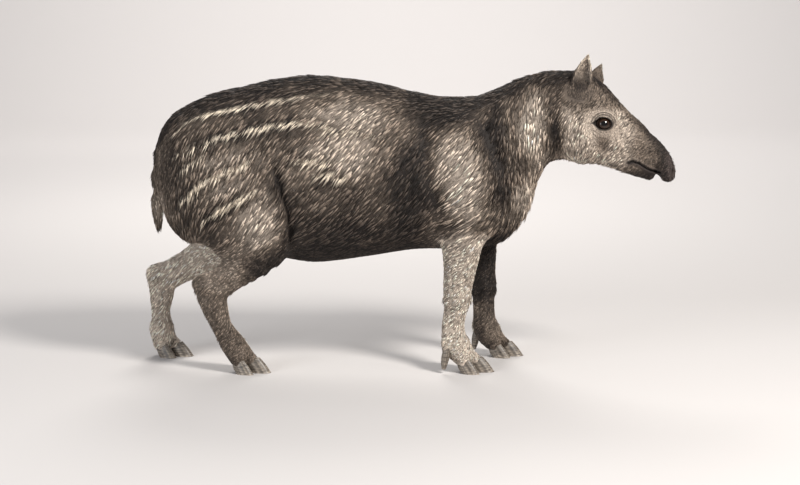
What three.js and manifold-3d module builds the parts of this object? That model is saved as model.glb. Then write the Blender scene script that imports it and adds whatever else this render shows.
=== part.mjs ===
// A young Malayan tapir, standing in a slow walk, as a life-size museum model in painted solids.
// Millimetres, +X towards the nose, +Y to the animal's left, +Z up, hooves on the floor at z = 0.
//
// The flesh is one smooth field: a negative number inside the animal, zero on its skin, positive outside.
// It is melted together from lofted ribs, limbs and muscle masses, meshed at the fineness each part needs,
// and parted by flat cuts into head, neck, torso, legs and so on. Hooves, eyes and ears are fitted pieces.

import * as THREE from "three";
import { mergeVertices } from "three/addons/utils/BufferGeometryUtils.js";
import Module from "manifold-3d";

const wasm = await Module();
wasm.setup();

// Driving dimensions

const GAP = 0.3; // the parting line between two pieces that meet
const HALF_STANCE_FORE = 112; // the animal's middle to the middle of a forefoot
const HALF_STANCE_HIND = 115;
const LEFT_FORE_REACH = 100; // how far the left forefoot stands ahead of the right one
const HEAD_TURN = THREE.MathUtils.degToRad(-15); // the head is turned a little to the animal's right
const TURN_PIVOT = 380; // x of the upright axis that the head turns about, in the neck
const TURN_FROM = 310; // the turn is spread between these two x places
const TURN_TO = 450;
const EYE_RADIUS = 23;
const SIDES = { left: 1, right: -1 };

// The trunk, neck and head as ribs: the [x, z] of each rib's top and bottom, and its half width.
// The last number makes a rib egg shaped: above 0 it is wider below its middle, as a belly is.

const RIBS = [
  { name: "seat", top: [-749, 652], bottom: [-739, 495], wide: 58, egg: 0 },
  { name: "tail root", top: [-731, 702], bottom: [-713, 445], wide: 96, egg: 0 },
  { name: "dock", top: [-699, 744], bottom: [-677, 408], wide: 123, egg: 0 },
  { name: "tail head", top: [-652, 774], bottom: [-632, 390], wide: 139, egg: 0 },
  { name: "rump", top: [-578, 805], bottom: [-560, 371], wide: 168, egg: 0 },
  { name: "croup", top: [-497, 824], bottom: [-485, 351], wide: 192, egg: 0.04 },
  { name: "loin", top: [-400, 846], bottom: [-400, 325], wide: 208, egg: 0.08 },
  { name: "paunch", top: [-300, 857], bottom: [-300, 308], wide: 219, egg: 0.1 },
  { name: "last rib", top: [-223, 852], bottom: [-223, 312], wide: 220, egg: 0.1 },
  { name: "barrel", top: [-109, 837], bottom: [-109, 328], wide: 213, egg: 0.08 },
  { name: "girth", top: [10, 809], bottom: [5, 345], wide: 196, egg: 0.05 },
  { name: "withers", top: [100, 795], bottom: [120, 348], wide: 176, egg: 0.02 },
  { name: "breast", top: [186, 798], bottom: [255, 361], wide: 163, egg: 0 },
  { name: "breast front", top: [230, 812], bottom: [325, 431], wide: 148, egg: 0 },
  { name: "neck root", top: [268, 828], bottom: [353, 491], wide: 129, egg: 0.02 },
  { name: "mid neck", top: [320, 851], bottom: [368, 544], wide: 113, egg: 0.05 },
  { name: "throat", top: [385, 868], bottom: [400, 598], wide: 101, egg: 0.04 },
  { name: "jaw angle", top: [445, 872], bottom: [442, 612], wide: 97, egg: -0.02 },
  { name: "poll", top: [503, 868], bottom: [469, 608], wide: 95, egg: -0.04 },
  { name: "brow", top: [553, 839], bottom: [502, 601], wide: 87, egg: -0.02 },
  { name: "eye", top: [588, 804], bottom: [530, 603], wide: 76, egg: 0 },
  { name: "cheek", top: [625, 764], bottom: [563, 599], wide: 63, egg: 0 },
  { name: "nose root", top: [659, 733], bottom: [600, 589], wide: 52, egg: 0 },
  { name: "muzzle", top: [688, 702], bottom: [644, 573], wide: 43, egg: 0 },
  { name: "lower lip", top: [702, 651], bottom: [694, 560], wide: 35, egg: 0 },
];
const RUMP_ROUND = 10; // how far the rump swells behind its last rib
const LIP_ROUND = 25; // how far the lower lip swells ahead of its rib
const RIBS_BETWEEN = 4; // finer ribs that are worked out between two named ones

// A limb's stations, each at [x, y, z], with its half depth fore and aft and its half width.

const PROBOSCIS = [
  { at: [638, 0, 682], deep: 44, wide: 37 },
  { at: [686, 0, 651], deep: 42.5, wide: 37 },
  { at: [722, 0, 621], deep: 36, wide: 33 },
  { at: [742, 0, 595], deep: 28, wide: 28 },
  { at: [750, 0, 577], deep: 21, wide: 24 },
];

const FORELEG = [
  { at: [150, 128, 521], deep: 88, wide: 62 },
  { at: [146, 124, 441], deep: 72, wide: 57 },
  { at: [143, 119, 369], deep: 59, wide: 50 },
  { at: [138, 115, 306], deep: 49, wide: 43 },
  { at: [132, 112, 253], deep: 44, wide: 39 },
  { at: [131, 111, 213], deep: 41, wide: 39 },
  { at: [125, 110, 177], deep: 35, wide: 33 },
  { at: [119, 110, 137], deep: 34, wide: 33 },
  { at: [122, 111, 104], deep: 36, wide: 38 },
  { at: [131, 112, 75], deep: 40, wide: 44 },
  { at: [148, 112, 50], deep: 34, wide: 43 },
];
const SWING_BELOW = 137; // under this height a foreleg's whole reach is reached
const SWING_FALL = 0.67 / 375; // share of the reach that is lost for each millimetre above it

// The hind legs stand differently: the right one under the body, the left one pushed out behind.
const HINDLEG_RIGHT = [
  { at: [-505, 118, 496], deep: 142, wide: 72 },
  { at: [-482, 121, 421], deep: 119, wide: 66 },
  { at: [-462, 120, 359], deep: 84, wide: 56 },
  { at: [-507, 117, 302], deep: 53, wide: 46 },
  { at: [-553, 115, 265], deep: 46, wide: 39 },
  { at: [-580, 114, 234], deep: 47, wide: 36 },
  { at: [-575, 114, 194], deep: 40, wide: 34 },
  { at: [-557, 115, 141], deep: 31, wide: 31 },
  { at: [-541, 115, 111], deep: 32, wide: 33 },
  { at: [-523, 115, 81], deep: 36, wide: 39 },
  { at: [-502, 115, 49], deep: 36, wide: 43 },
];
const HINDLEG_LEFT = [
  { at: [-512, 118, 496], deep: 142, wide: 72 },
  { at: [-515, 121, 421], deep: 112, wide: 66 },
  { at: [-560, 120, 357], deep: 80, wide: 56 },
  { at: [-650, 117, 293], deep: 52, wide: 46 },
  { at: [-718, 115, 257], deep: 45, wide: 39 },
  { at: [-753, 114, 229], deep: 44, wide: 36 },
  { at: [-759, 114, 191], deep: 38, wide: 34 },
  { at: [-763, 115, 143], deep: 30, wide: 31 },
  { at: [-762, 115, 111], deep: 31, wide: 33 },
  { at: [-761, 115, 81], deep: 36, wide: 39 },
  { at: [-754, 115, 49], deep: 36, wide: 43 },
];

// The point of the heel bone, which stands out behind each hock, on the animal's left side.
const HOCK_POINTS = {
  hindleg_right: { at: [-609, 114, 263], radii: [30, 20, 25], pitch: 0 },
  hindleg_left: { at: [-772, 114, 255], radii: [30, 20, 25], pitch: 0 },
};
const HOCK_MELT = 30;

const TAIL = [
  { at: [-742, 0, 515], deep: 20, wide: 24 },
  { at: [-750, 0, 491], deep: 18.5, wide: 21 },
  { at: [-751, 0, 463], deep: 16.5, wide: 18 },
  { at: [-750, 0, 436], deep: 14, wide: 15 },
  { at: [-749, 0, 411], deep: 10, wide: 11 },
];

// Muscle masses that swell out of the trunk on both sides, as ellipsoids leaning by a pitch in degrees.

const MASSES = [
  { name: "shoulder blade", at: [118, 104, 613], radii: [88, 70, 132], pitch: 14 },
  { name: "upper arm", at: [180, 116, 506], radii: [92, 60, 108], pitch: -22 },
  { name: "haunch", at: [-540, 102, 571], radii: [172, 80, 170], pitch: 0 },
  { name: "buttock", at: [-612, 86, 491], radii: [100, 72, 116], pitch: -18 },
  { name: "stifle", at: [-425, 122, 411], radii: [76, 56, 92], pitch: -20 },
  { name: "tail root", at: [-714, 0, 541], radii: [44, 42, 42], pitch: 0 },
  { name: "jaw muscle", at: [494, 50, 691], radii: [62, 48, 70], pitch: 20 },
  { name: "cheek bone", at: [560, 52, 697], radii: [60, 24, 20], pitch: -32 },
  { name: "brow ridge", at: [562, 46, 759], radii: [44, 28, 22], pitch: -38 },
];

const MASS_MELT = 60;
const LIMB_MELT = 38;
const HEAD_MASS_MELT = 30;
const PROBOSCIS_MELT = { root: 28, lips: 9 }; // narrow at the lips, which stay apart there

// Melts two fields together over a width k.
function melt(a, b, k) {
  const h = Math.max(k - Math.abs(a - b), 0) / k;
  return Math.min(a, b) - (h * h * k) / 4;
}

// The distance to an ellipse or ellipsoid, measured along the spoke from its middle.
// length is the point's own distance from the middle, and share is 1 on the surface.
function alongSpoke(length, share) {
  return share < 1e-6 ? -length : length * (1 - 1 / share);
}

const smoothstep = (from, to, x) => THREE.MathUtils.smoothstep(x, from, to);

// Takes a point of the turned head or neck back to where it was on the straight animal.
function straightened(x, y) {
  const angle = -HEAD_TURN * smoothstep(TURN_FROM, TURN_TO, x);
  const [c, s] = [Math.cos(angle), Math.sin(angle)];
  const dx = x - TURN_PIVOT;
  return [TURN_PIVOT + dx * c - y * s, dx * s + y * c];
}

// A list of numbers drawn through the stations' own, by the same smooth curve for every number.
function between(rows, steps) {
  const fine = [];
  const last = rows.length - 1;
  for (let i = 0; i < last; i += 1) {
    const [p0, p1, p2, p3] = [i - 1, i, i + 1, i + 2].map((n) => rows[Math.min(Math.max(n, 0), last)]);
    for (let k = 0; k < steps; k += 1) {
      const t = k / steps;
      fine.push(p1.map((_, j) => {
        const m1 = (p2[j] - p0[j]) / 2;
        const m2 = (p3[j] - p1[j]) / 2;
        const a = 2 * p1[j] - 2 * p2[j] + m1 + m2;
        const b = -3 * p1[j] + 3 * p2[j] - 2 * m1 - m2;
        return ((a * t + b) * t + m1) * t + p1[j];
      }));
    }
  }
  fine.push(rows.at(-1));
  return fine;
}

// A body lofted through upright ribs. A point is placed between the two ribs whose planes it lies between.
function ribbed(ribs, roundBehind, roundAhead) {
  const rows = between(ribs.map((r) => [...r.top, ...r.bottom, r.wide, r.egg]), RIBS_BETWEEN);
  const fine = rows.map(([tx, tz, bx, bz, wide, egg]) => {
    const deep = Math.hypot(tx - bx, tz - bz) / 2;
    const [ux, uz] = [(tx - bx) / (2 * deep), (tz - bz) / (2 * deep)];
    return { x: (tx + bx) / 2, z: (tz + bz) / 2, ux, uz, deep, wide, egg };
  });
  const ahead = (r, x, z) => (x - r.x) * r.uz - (z - r.z) * r.ux;
  return (x, y, z) => {
    let i = 0;
    let here = ahead(fine[0], x, z);
    let next = here;
    while (i + 1 < fine.length) {
      next = ahead(fine[i + 1], x, z);
      if (next < 0) break;
      here = next;
      i += 1;
    }
    const a = fine[i];
    const b = fine[Math.min(i + 1, fine.length - 1)];
    const enclosed = here > 0 && next < 0;
    const t = enclosed ? here / (here - next) : 0;
    const mix = (p, q) => p + (q - p) * t;
    const dx = x - mix(a.x, b.x);
    const dz = z - mix(a.z, b.z);
    const up = dx * mix(a.ux, b.ux) + dz * mix(a.uz, b.uz);
    const along = enclosed ? 0 : here;
    const deep = mix(a.deep, b.deep);
    const lean = 1 - mix(a.egg, b.egg) * THREE.MathUtils.clamp(up / deep, -1, 1);
    const round = along < 0 ? roundBehind : roundAhead;
    const share = Math.hypot(up / deep, y / (mix(a.wide, b.wide) * lean), along / round);
    return alongSpoke(Math.hypot(up, y, along), share);
  };
}

// A limb of oval sections along a smooth curve through its stations, with round ends.
function limb(stations) {
  const fine = between(stations.map((s) => [...s.at, s.deep, s.wide]), 3);
  const parts = fine.slice(1).map((end, i) => {
    const [ax, ay, az, deepA, wideA] = fine[i];
    const [bx, by, bz, deepB, wideB] = end;
    const run = new THREE.Vector3(bx - ax, by - ay, bz - az);
    const length = run.length();
    const along = run.clone().normalize();
    const across = new THREE.Vector3(0, 1, 0).addScaledVector(along, -along.y).normalize();
    const fore = new THREE.Vector3().crossVectors(across, along);
    return { ax, ay, az, along, across, fore, length, deepA, wideA, deepB, wideB };
  });
  return (x, y, z) => {
    let least = Infinity;
    for (const p of parts) {
      const [vx, vy, vz] = [x - p.ax, y - p.ay, z - p.az];
      const s = vx * p.along.x + vy * p.along.y + vz * p.along.z;
      const t = THREE.MathUtils.clamp(s / p.length, 0, 1);
      const over = s - t * p.length;
      const fore = vx * p.fore.x + vy * p.fore.y + vz * p.fore.z;
      const across = vx * p.across.x + vy * p.across.y + vz * p.across.z;
      const deep = p.deepA + (p.deepB - p.deepA) * t;
      const wide = p.wideA + (p.wideB - p.wideA) * t;
      const share = Math.hypot(fore / deep, across / wide, over / Math.min(deep, wide));
      least = Math.min(least, alongSpoke(Math.hypot(fore, across, over), share));
    }
    return least;
  };
}

// An ellipsoid that leans by its pitch, nose up.
function mass({ at, radii, pitch }) {
  const [c, s] = [Math.cos(THREE.MathUtils.degToRad(pitch)), Math.sin(THREE.MathUtils.degToRad(pitch))];
  return (x, y, z) => {
    const [dx, dy, dz] = [x - at[0], y - at[1], z - at[2]];
    const [u, w] = [dx * c + dz * s, dz * c - dx * s];
    return alongSpoke(Math.hypot(u, dy, w), Math.hypot(u / radii[0], dy / radii[1], w / radii[2]));
  };
}

const swungForward = (stations, reach) => stations.map((s) => {
  const share = 1 - SWING_FALL * Math.max(s.at[2] - SWING_BELOW, 0);
  return { ...s, at: [s.at[0] + reach * share, s.at[1], s.at[2]] };
});

const LEG_STATIONS = {
  foreleg_left: swungForward(FORELEG, LEFT_FORE_REACH),
  foreleg_right: FORELEG,
  hindleg_left: HINDLEG_LEFT,
  hindleg_right: HINDLEG_RIGHT,
};

// The three toes of a foot that stand on the floor: how far ahead of the foot's last station and how far to
// its outer side a hoof's middle is, how many degrees it splays outward, and the hoof's own size.

const MIDDLE_TOE = { name: "middle", ahead: 55, aside: 0, splay: 0, length: 74, width: 37, height: 45 };
const SIDE_HOOF = { length: 63, width: 29, height: 41 };
const FORE_TOES = [
  { name: "inner", ahead: 22, aside: -34, splay: -10, ...SIDE_HOOF },
  MIDDLE_TOE,
  { name: "outer", ahead: 19, aside: 34, splay: 13, ...SIDE_HOOF },
];
const HIND_TOES = [
  { name: "inner", ahead: 19, aside: -34, splay: -11, ...SIDE_HOOF },
  MIDDLE_TOE,
  { name: "outer", ahead: 19, aside: 34, splay: 11, ...SIDE_HOOF },
];
// The small fourth toe of a forefoot hangs at its outer back, clear of the floor.
const SMALL_TOE = { back: 58, out: 31, length: 27, width: 23, height: 74, tip: 13, lean: 0.13 };
const FORE_TURN = THREE.MathUtils.degToRad(-4); // both forefeet point a little to the animal's right
const HIND_TURN = THREE.MathUtils.degToRad(-12);
const TOE_SHARE = 0.5; // a toe's half thickness as a share of its hoof's width
const TOE_MELT = 9;
const PAD_CLEAR = 4; // the soft sole stays this far off the floor, which only the hooves touch

// Every foot: where it stands, which way is out, and its toes.
const FEET = Object.entries(LEG_STATIONS).map(([leg, stations]) => {
  const [front, side] = leg.split("leg_");
  const [x, y, z] = stations.at(-1).at;
  const fore = front === "fore";
  return { leg, fore, turn: fore ? FORE_TURN : HIND_TURN, out: SIDES[side], x, y: y * SIDES[side], z };
});

// The middle of a main toe's hoof, and the way it points.
function toePlace(foot, toe) {
  const [c, s] = [Math.cos(foot.turn), Math.sin(foot.turn)];
  const aside = toe.aside * foot.out;
  const heading = THREE.MathUtils.degToRad(toe.splay) * foot.out + foot.turn;
  return { x: foot.x + toe.ahead * c - aside * s, y: foot.y + toe.ahead * s + aside * c, heading };
}

// A toe's flesh, from the ball of the foot down to the top of its hoof.
function toeField(foot, toe) {
  const { x, y, heading } = toePlace(foot, toe);
  const [ux, uy] = [Math.cos(heading) * toe.length, Math.sin(heading) * toe.length];
  const back = (share) => [x - ux * share, y - uy * share];
  const r = toe.width * TOE_SHARE;
  return limb([
    { at: [foot.x - 4, foot.y + toe.aside * foot.out * 0.45, foot.z + 4], deep: r * 1.3, wide: r * 1.3 },
    { at: [...back(0.31), toe.height * 0.86], deep: r, wide: r },
    { at: [...back(0.18), toe.height * 0.5], deep: r * 0.6, wide: r * 0.62 },
  ]);
}

function smallToeField(foot) {
  const [x, y] = [foot.x - SMALL_TOE.back, foot.y + SMALL_TOE.out * foot.out];
  return limb([
    { at: [x + 20, y - 10 * foot.out, 118], deep: 18, wide: 16 },
    { at: [x + 10, y - 1 * foot.out, 94], deep: 15, wide: 13 },
    { at: [x + 7, y, 74], deep: 11, wide: 10 },
  ]);
}

const mirrored = (field, side) => (x, y, z) => field(x, y * side, z);

// A leg down to the ball of its foot, as if it were a left one, with the hock's point on a hind leg.
function legBones(leg) {
  const bare = limb(LEG_STATIONS[leg]);
  if (!HOCK_POINTS[leg]) return bare;
  const point = mass(HOCK_POINTS[leg]);
  return (x, y, z) => melt(bare(x, y, z), point(x, y, z), HOCK_MELT);
}

const trunk = ribbed(RIBS, RUMP_ROUND, LIP_ROUND);
const proboscis = limb(PROBOSCIS);
const tailField = limb(TAIL);
const bodyMasses = MASSES.filter((m) => m.at[0] < TURN_FROM).map(mass);
const headMasses = MASSES.filter((m) => m.at[0] > TURN_FROM).map(mass);
const legs = FEET.map((foot) => ({
  foot,
  field: mirrored(legBones(foot.leg), foot.out),
  toes: [
    ...(foot.fore ? FORE_TOES : HIND_TOES).map((toe) => toeField(foot, toe)),
    ...(foot.fore ? [smallToeField(foot)] : []),
  ],
}));

// How far from its foot a leg's field is looked at.
const LEG_REACH = { behind: 260, ahead: 420, top: 760 };

// The foot's pads are kept off the floor.
function legField(leg, x, y, z) {
  let d = leg.field(x, y, z);
  if (z < 130) for (const toe of leg.toes) d = melt(d, toe(x, y, z), TOE_MELT);
  return Math.max(d, PAD_CLEAR - z);
}

function torsoField(x, y, z) {
  let d = trunk(x, y, z);
  for (const m of bodyMasses) d = melt(d, m(x, Math.abs(y), z), MASS_MELT);
  return d;
}

// The straight head and neck, before the head turns.
function headField(x, y, z) {
  let d = trunk(x, y, z);
  for (const m of headMasses) d = melt(d, m(x, Math.abs(y), z), HEAD_MASS_MELT);
  if (x < 560) return d;
  const width = THREE.MathUtils.lerp(PROBOSCIS_MELT.root, PROBOSCIS_MELT.lips, smoothstep(640, 712, x));
  return melt(d, proboscis(x, y, z), width);
}

// The whole of the flesh, without ears and tail.
function flesh(x, y, z) {
  if (x > TURN_FROM) {
    return headField(...straightened(x, y), z);
  }
  let d = torsoField(x, y, z);
  for (const leg of legs) {
    const near = x > leg.foot.x - LEG_REACH.behind && x < leg.foot.x + LEG_REACH.ahead && z < LEG_REACH.top;
    if (near) d = melt(d, legField(leg, x, y, z), LIMB_MELT);
  }
  return d;
}

// Meshes the zero surface of a field inside a box, one corner in each cell that the surface crosses.
// Each corner is then slid onto the surface. A surface that leaves the box is closed at its wall.
// A cell may be stretched along an axis that the surface runs along.
function meshed(field, box, cell, stretch) {
  const size = box.getSize(new THREE.Vector3());
  const step = stretch.map((s) => s * cell);
  const [nx, ny, nz] = size.toArray().map((s, n) => Math.ceil(s / step[n]) + 1);
  const at = (i, j, k) => [box.min.x + i * step[0], box.min.y + j * step[1], box.min.z + k * step[2]];
  const index = (i, j, k) => (k * ny + j) * nx + i;
  const values = new Float32Array(nx * ny * nz);
  for (let k = 0; k < nz; k += 1)
    for (let j = 0; j < ny; j += 1)
      for (let i = 0; i < nx; i += 1) {
        const wall = i === 0 || j === 0 || k === 0 || i === nx - 1 || j === ny - 1 || k === nz - 1;
        const d = field(...at(i, j, k));
        values[index(i, j, k)] = wall ? Math.max(d, cell * 0.4) : d;
      }

  const corners = [[0, 0, 0], [1, 0, 0], [0, 1, 0], [1, 1, 0], [0, 0, 1], [1, 0, 1], [0, 1, 1], [1, 1, 1]];
  const apart = (a, b) => a.reduce((sum, c, n) => sum + Math.abs(c - b[n]), 0);
  const edges = corners.flatMap((a, i) =>
    corners.map((b, j) => [i, j, apart(a, b)]).filter(([, j, steps]) => j > i && steps === 1));
  const vertexOf = new Int32Array(nx * ny * nz).fill(-1);
  const positions = [];
  const nearWall = (n, most) => n <= 0 || n >= most - 2;
  for (let k = 0; k < nz - 1; k += 1)
    for (let j = 0; j < ny - 1; j += 1)
      for (let i = 0; i < nx - 1; i += 1) {
        const v = corners.map(([a, b, c]) => values[index(i + a, j + b, k + c)]);
        if (v.every((d) => d < 0) || v.every((d) => d >= 0)) continue;
        const sum = [0, 0, 0];
        let crossings = 0;
        for (const [a, b] of edges) {
          if (v[a] < 0 === v[b] < 0) continue;
          const t = v[a] / (v[a] - v[b]);
          sum.forEach((_, n) => { sum[n] += corners[a][n] + (corners[b][n] - corners[a][n]) * t; });
          crossings += 1;
        }
        let place = at(...[i, j, k].map((n, m) => n + sum[m] / crossings));
        if (!nearWall(i, nx) && !nearWall(j, ny) && !nearWall(k, nz)) place = settled(field, place, cell);
        vertexOf[index(i, j, k)] = positions.length / 3;
        positions.push(...place);
      }

  const faces = [];
  const quad = (a, b, c, d, flip) => {
    const p = (n) => new THREE.Vector3().fromArray(positions, n * 3);
    const short = p(a).distanceTo(p(c)) <= p(b).distanceTo(p(d));
    const split = short ? [[a, b, c], [a, c, d]] : [[a, b, d], [b, c, d]];
    for (const [u, v, w] of split) faces.push(...(flip ? [u, w, v] : [u, v, w]));
  };
  for (let k = 0; k < nz - 1; k += 1)
    for (let j = 0; j < ny - 1; j += 1)
      for (let i = 0; i < nx - 1; i += 1) {
        const inside = values[index(i, j, k)] < 0;
        const cellAt = (a, b, c) => vertexOf[index(i - a, j - b, k - c)];
        if (j > 0 && k > 0 && inside !== values[index(i + 1, j, k)] < 0)
          quad(cellAt(0, 1, 1), cellAt(0, 0, 1), cellAt(0, 0, 0), cellAt(0, 1, 0), !inside);
        if (i > 0 && k > 0 && inside !== values[index(i, j + 1, k)] < 0)
          quad(cellAt(1, 0, 1), cellAt(1, 0, 0), cellAt(0, 0, 0), cellAt(0, 0, 1), !inside);
        if (i > 0 && j > 0 && inside !== values[index(i, j, k + 1)] < 0)
          quad(cellAt(1, 1, 0), cellAt(0, 1, 0), cellAt(0, 0, 0), cellAt(1, 0, 0), !inside);
      }
  const geometry = new THREE.BufferGeometry();
  geometry.setAttribute("position", new THREE.Float32BufferAttribute(positions, 3));
  geometry.setIndex(faces);
  return geometry;
}

// Slides a point along the field's slope until it lies on the surface, by at most 0.6 of a cell.
function settled(field, place, cell) {
  const nudge = cell * 0.05;
  let p = place;
  for (let pass = 0; pass < 3; pass += 1) {
    const d = field(...p);
    const slope = [0, 1, 2].map((n) => {
      const [q, r] = [[...p], [...p]];
      q[n] += nudge;
      r[n] -= nudge;
      return (field(...q) - field(...r)) / (2 * nudge);
    });
    const steep = slope.reduce((s, g) => s + g * g, 0);
    if (steep < 0.05) break;
    p = p.map((c, n) => c - (d * slope[n]) / steep);
  }
  const moved = Math.hypot(...p.map((c, n) => c - place[n]));
  return moved > cell * 0.6 ? place : p;
}

function solidOf(geometry) {
  const bare = (geometry.index ? geometry : mergeVertices(geometry)).clone();
  bare.deleteAttribute("normal");
  bare.deleteAttribute("uv");
  const merged = mergeVertices(bare, 1e-4);
  return new wasm.Manifold(new wasm.Mesh({
    numProp: 3,
    vertProperties: new Float32Array(merged.attributes.position.array),
    triVerts: new Uint32Array(merged.index.array),
  }));
}

function geometryOf(solid) {
  const mesh = solid.getMesh();
  const geometry = new THREE.BufferGeometry();
  geometry.setAttribute("position", new THREE.Float32BufferAttribute(mesh.vertProperties, mesh.numProp));
  geometry.setIndex(Array.from(mesh.triVerts));
  return geometry;
}

// Keeps a solid's largest closed piece.
const largest = (solid) => solid.decompose().sort((a, b) => b.volume() - a.volume())[0];

// Keeps what lies on the side of a plane that its normal points to, less half the parting gap.
const keptBeyond = (solid, { point, normal }) => {
  const n = new THREE.Vector3(...normal).normalize();
  return solid.trimByPlane(n.toArray(), n.dot(new THREE.Vector3(...point)) + GAP / 2);
};
const reversed = ({ point, normal }) => ({ point, normal: normal.map((n) => -n) });

// Parting planes. Each normal points towards the nose, or down and out along a leg.

const CUTS = {
  loin: { point: [-338, 0, 0], normal: [1, 0, 0] },
  girth: { point: [8, 0, 0], normal: [1, 0, 0] },
  neckRoot: { point: [272, 0, 660], normal: [0.93, 0, 0.37] },
  poll: { point: [432, 0, 750], normal: [0.99, -0.1, 0.1] },
  tail: { point: [-750, 0, 499], normal: [0.2, 0, -1] },
};
const WRIST_Z = 214;
const HOCK_Z = 206;

const MATERIALS = {
  coat: new THREE.MeshStandardMaterial({ color: 0x4a3f36, roughness: 0.85, metalness: 0 }),
  horn: new THREE.MeshStandardMaterial({ color: 0x2a2622, roughness: 0.5, metalness: 0 }),
  eye: new THREE.MeshStandardMaterial({ color: 0x120c08, roughness: 0.08, metalness: 0 }),
};

const tapir = new THREE.Group();
function add(name, solid, material) {
  const mesh = new THREE.Mesh(geometryOf(largest(solid)), material);
  mesh.name = name;
  tapir.add(mesh);
}

const boxOf = (x0, y0, z0, x1, y1, z1) =>
  new THREE.Box3(new THREE.Vector3(x0, y0, z0), new THREE.Vector3(x1, y1, z1));
const EVEN = [1, 1, 1];
const fleshIn = (box, cell, stretch = EVEN, field = flesh) => solidOf(meshed(field, box, cell, stretch));

// The block of space that belongs to an upper leg: it lies under a plane that slopes down to the groin or
// armpit, and between two planes ahead of and behind the leg. The torso gives it up, less the gap.
// inner is the roof's height 55 mm out from the animal's middle, and rise is how fast it climbs outward.
const FORE_BLOCK = { station: 1, inner: 337, rise: 0.9, ahead: 118, behind: 112 };
const HIND_BLOCK = { station: 0, inner: 317, rise: 0.95, ahead: 150, behind: 380 };

function legBlock({ foot }, grow) {
  const { station, inner, rise, ahead, behind } = foot.fore ? FORE_BLOCK : HIND_BLOCK;
  const middle = LEG_STATIONS[foot.leg][station].at[0];
  const planes = [
    { point: [0, 55 * foot.out, inner + grow * 1.4], normal: [0, rise * foot.out, -1] },
    { point: [middle + ahead + grow, 0, 330], normal: [-1, 0, -0.12] },
    { point: [middle - behind - grow, 0, 330], normal: [1, 0, -0.12] },
    { point: [0, (12 - grow) * foot.out, 0], normal: [0, foot.out, 0] },
  ];
  const block = new THREE.BoxGeometry(800, 520, 600).translate(middle, 0, 320);
  return planes.reduce((solid, { point, normal }) => {
    const n = new THREE.Vector3(...normal).normalize();
    return solid.trimByPlane(n.toArray(), n.dot(new THREE.Vector3(...point)));
  }, solidOf(block));
}

// The torso is meshed once, and parted into chest, belly and hindquarters. The legs' blocks come out of it,
// and so does the hollow between the buttocks that the tail hangs in.

const TORSO_CELL = 39;
const TAIL_HOLLOW = { radius: 34, length: 150 };
const tailHollow = keptBeyond(
  solidOf(
    new THREE.CylinderGeometry(TAIL_HOLLOW.radius, TAIL_HOLLOW.radius * 1.15, TAIL_HOLLOW.length, 20)
      .rotateX(Math.PI / 2)
      .translate(TAIL[2].at[0] - 4, 0, 450),
  ),
  { point: [CUTS.tail.point[0], 0, CUTS.tail.point[2] + GAP], normal: CUTS.tail.normal },
);
const torsoWhole = legs.reduce(
  (solid, leg) => solid.subtract(legBlock(leg, GAP)),
  fleshIn(boxOf(-830, -262, 225, 420, 262, 905), TORSO_CELL, [1.6, 1, 1]).subtract(tailHollow),
);
add("hindquarters", keptBeyond(torsoWhole, reversed(CUTS.loin)), MATERIALS.coat);
add("torso_belly", keptBeyond(keptBeyond(torsoWhole, CUTS.loin), reversed(CUTS.girth)), MATERIALS.coat);
add("torso_chest", keptBeyond(keptBeyond(torsoWhole, CUTS.girth), reversed(CUTS.neckRoot)), MATERIALS.coat);

const TAIL_CELL = 9;
const tailSolid = fleshIn(boxOf(-785, -36, 385, -715, 36, 560), TAIL_CELL, [1, 1, 1.8], tailField);
add("tail", keptBeyond(tailSolid, CUTS.tail), MATERIALS.coat);

const NECK_CELL = 30;
const neckWhole = fleshIn(boxOf(130, -215, 400, 520, 190, 920), NECK_CELL);
add("neck", keptBeyond(keptBeyond(neckWhole, CUTS.neckRoot), reversed(CUTS.poll)), MATERIALS.coat);

// The head, with the eyes seated in it, lids round them, the mouth, nostrils and ears.

const HEAD_CELL = 15.5;
const EYE = { x: 570, z: 722, sink: 16, out: 0.95, ahead: 0.24, up: 0.2 };
const LID = { wide: 25, high: 20, thick: 5.5, back: 1, corners: [0.9, 0, -0.3] };
const MOUTH_LINE = [[726, 585], [706, 590], [690, 599], [672, 611], [655, 616], [642, 612]];
const MOUTH_HEIGHT = 3.2;
const NOSTRIL = { at: [764, 12, 583], radii: [15, 6, 7], pitch: 52 };

// Moves a solid of the straight head to where the turned head has it.
const onTurnedHead = (geometry) =>
  geometry.translate(-TURN_PIVOT, 0, 0).rotateZ(HEAD_TURN).translate(TURN_PIVOT, 0, 0);

// The place of an eye's middle: in from the skin, which is found by walking outward.
function eyePlace(side) {
  let y = 20;
  while (headField(EYE.x, y, EYE.z) < 0) y += 0.25;
  return new THREE.Vector3(EYE.x, (y - EYE.sink) * side, EYE.z);
}

function eyeball(side, grow) {
  const ball = new THREE.SphereGeometry(EYE_RADIUS + grow, 16, 9).rotateX(Math.PI / 2);
  return onTurnedHead(ball.translate(...eyePlace(side).toArray()));
}

// A lid ring, bent back over the eyeball at its two corners.
function lidRing(side) {
  const facing = new THREE.Vector3(EYE.ahead, EYE.out * side, EYE.up).normalize();
  const ring = new THREE.TorusGeometry(1, LID.thick / LID.wide, 6, 18).scale(LID.wide, LID.high, LID.wide);
  const p = ring.attributes.position;
  for (let i = 0; i < p.count; i += 1) {
    const bend = Math.sqrt(Math.max(EYE_RADIUS ** 2 - p.getX(i) ** 2 * 0.62, 0)) - LID.back;
    p.setZ(i, p.getZ(i) + bend);
  }
  const across = new THREE.Vector3(...LID.corners);
  across.addScaledVector(facing, -facing.dot(across)).normalize();
  const upward = new THREE.Vector3().crossVectors(facing, across);
  const frame = new THREE.Matrix4().makeBasis(across, upward, facing);
  return onTurnedHead(ring.applyMatrix4(frame).translate(...eyePlace(side).toArray()));
}

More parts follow.
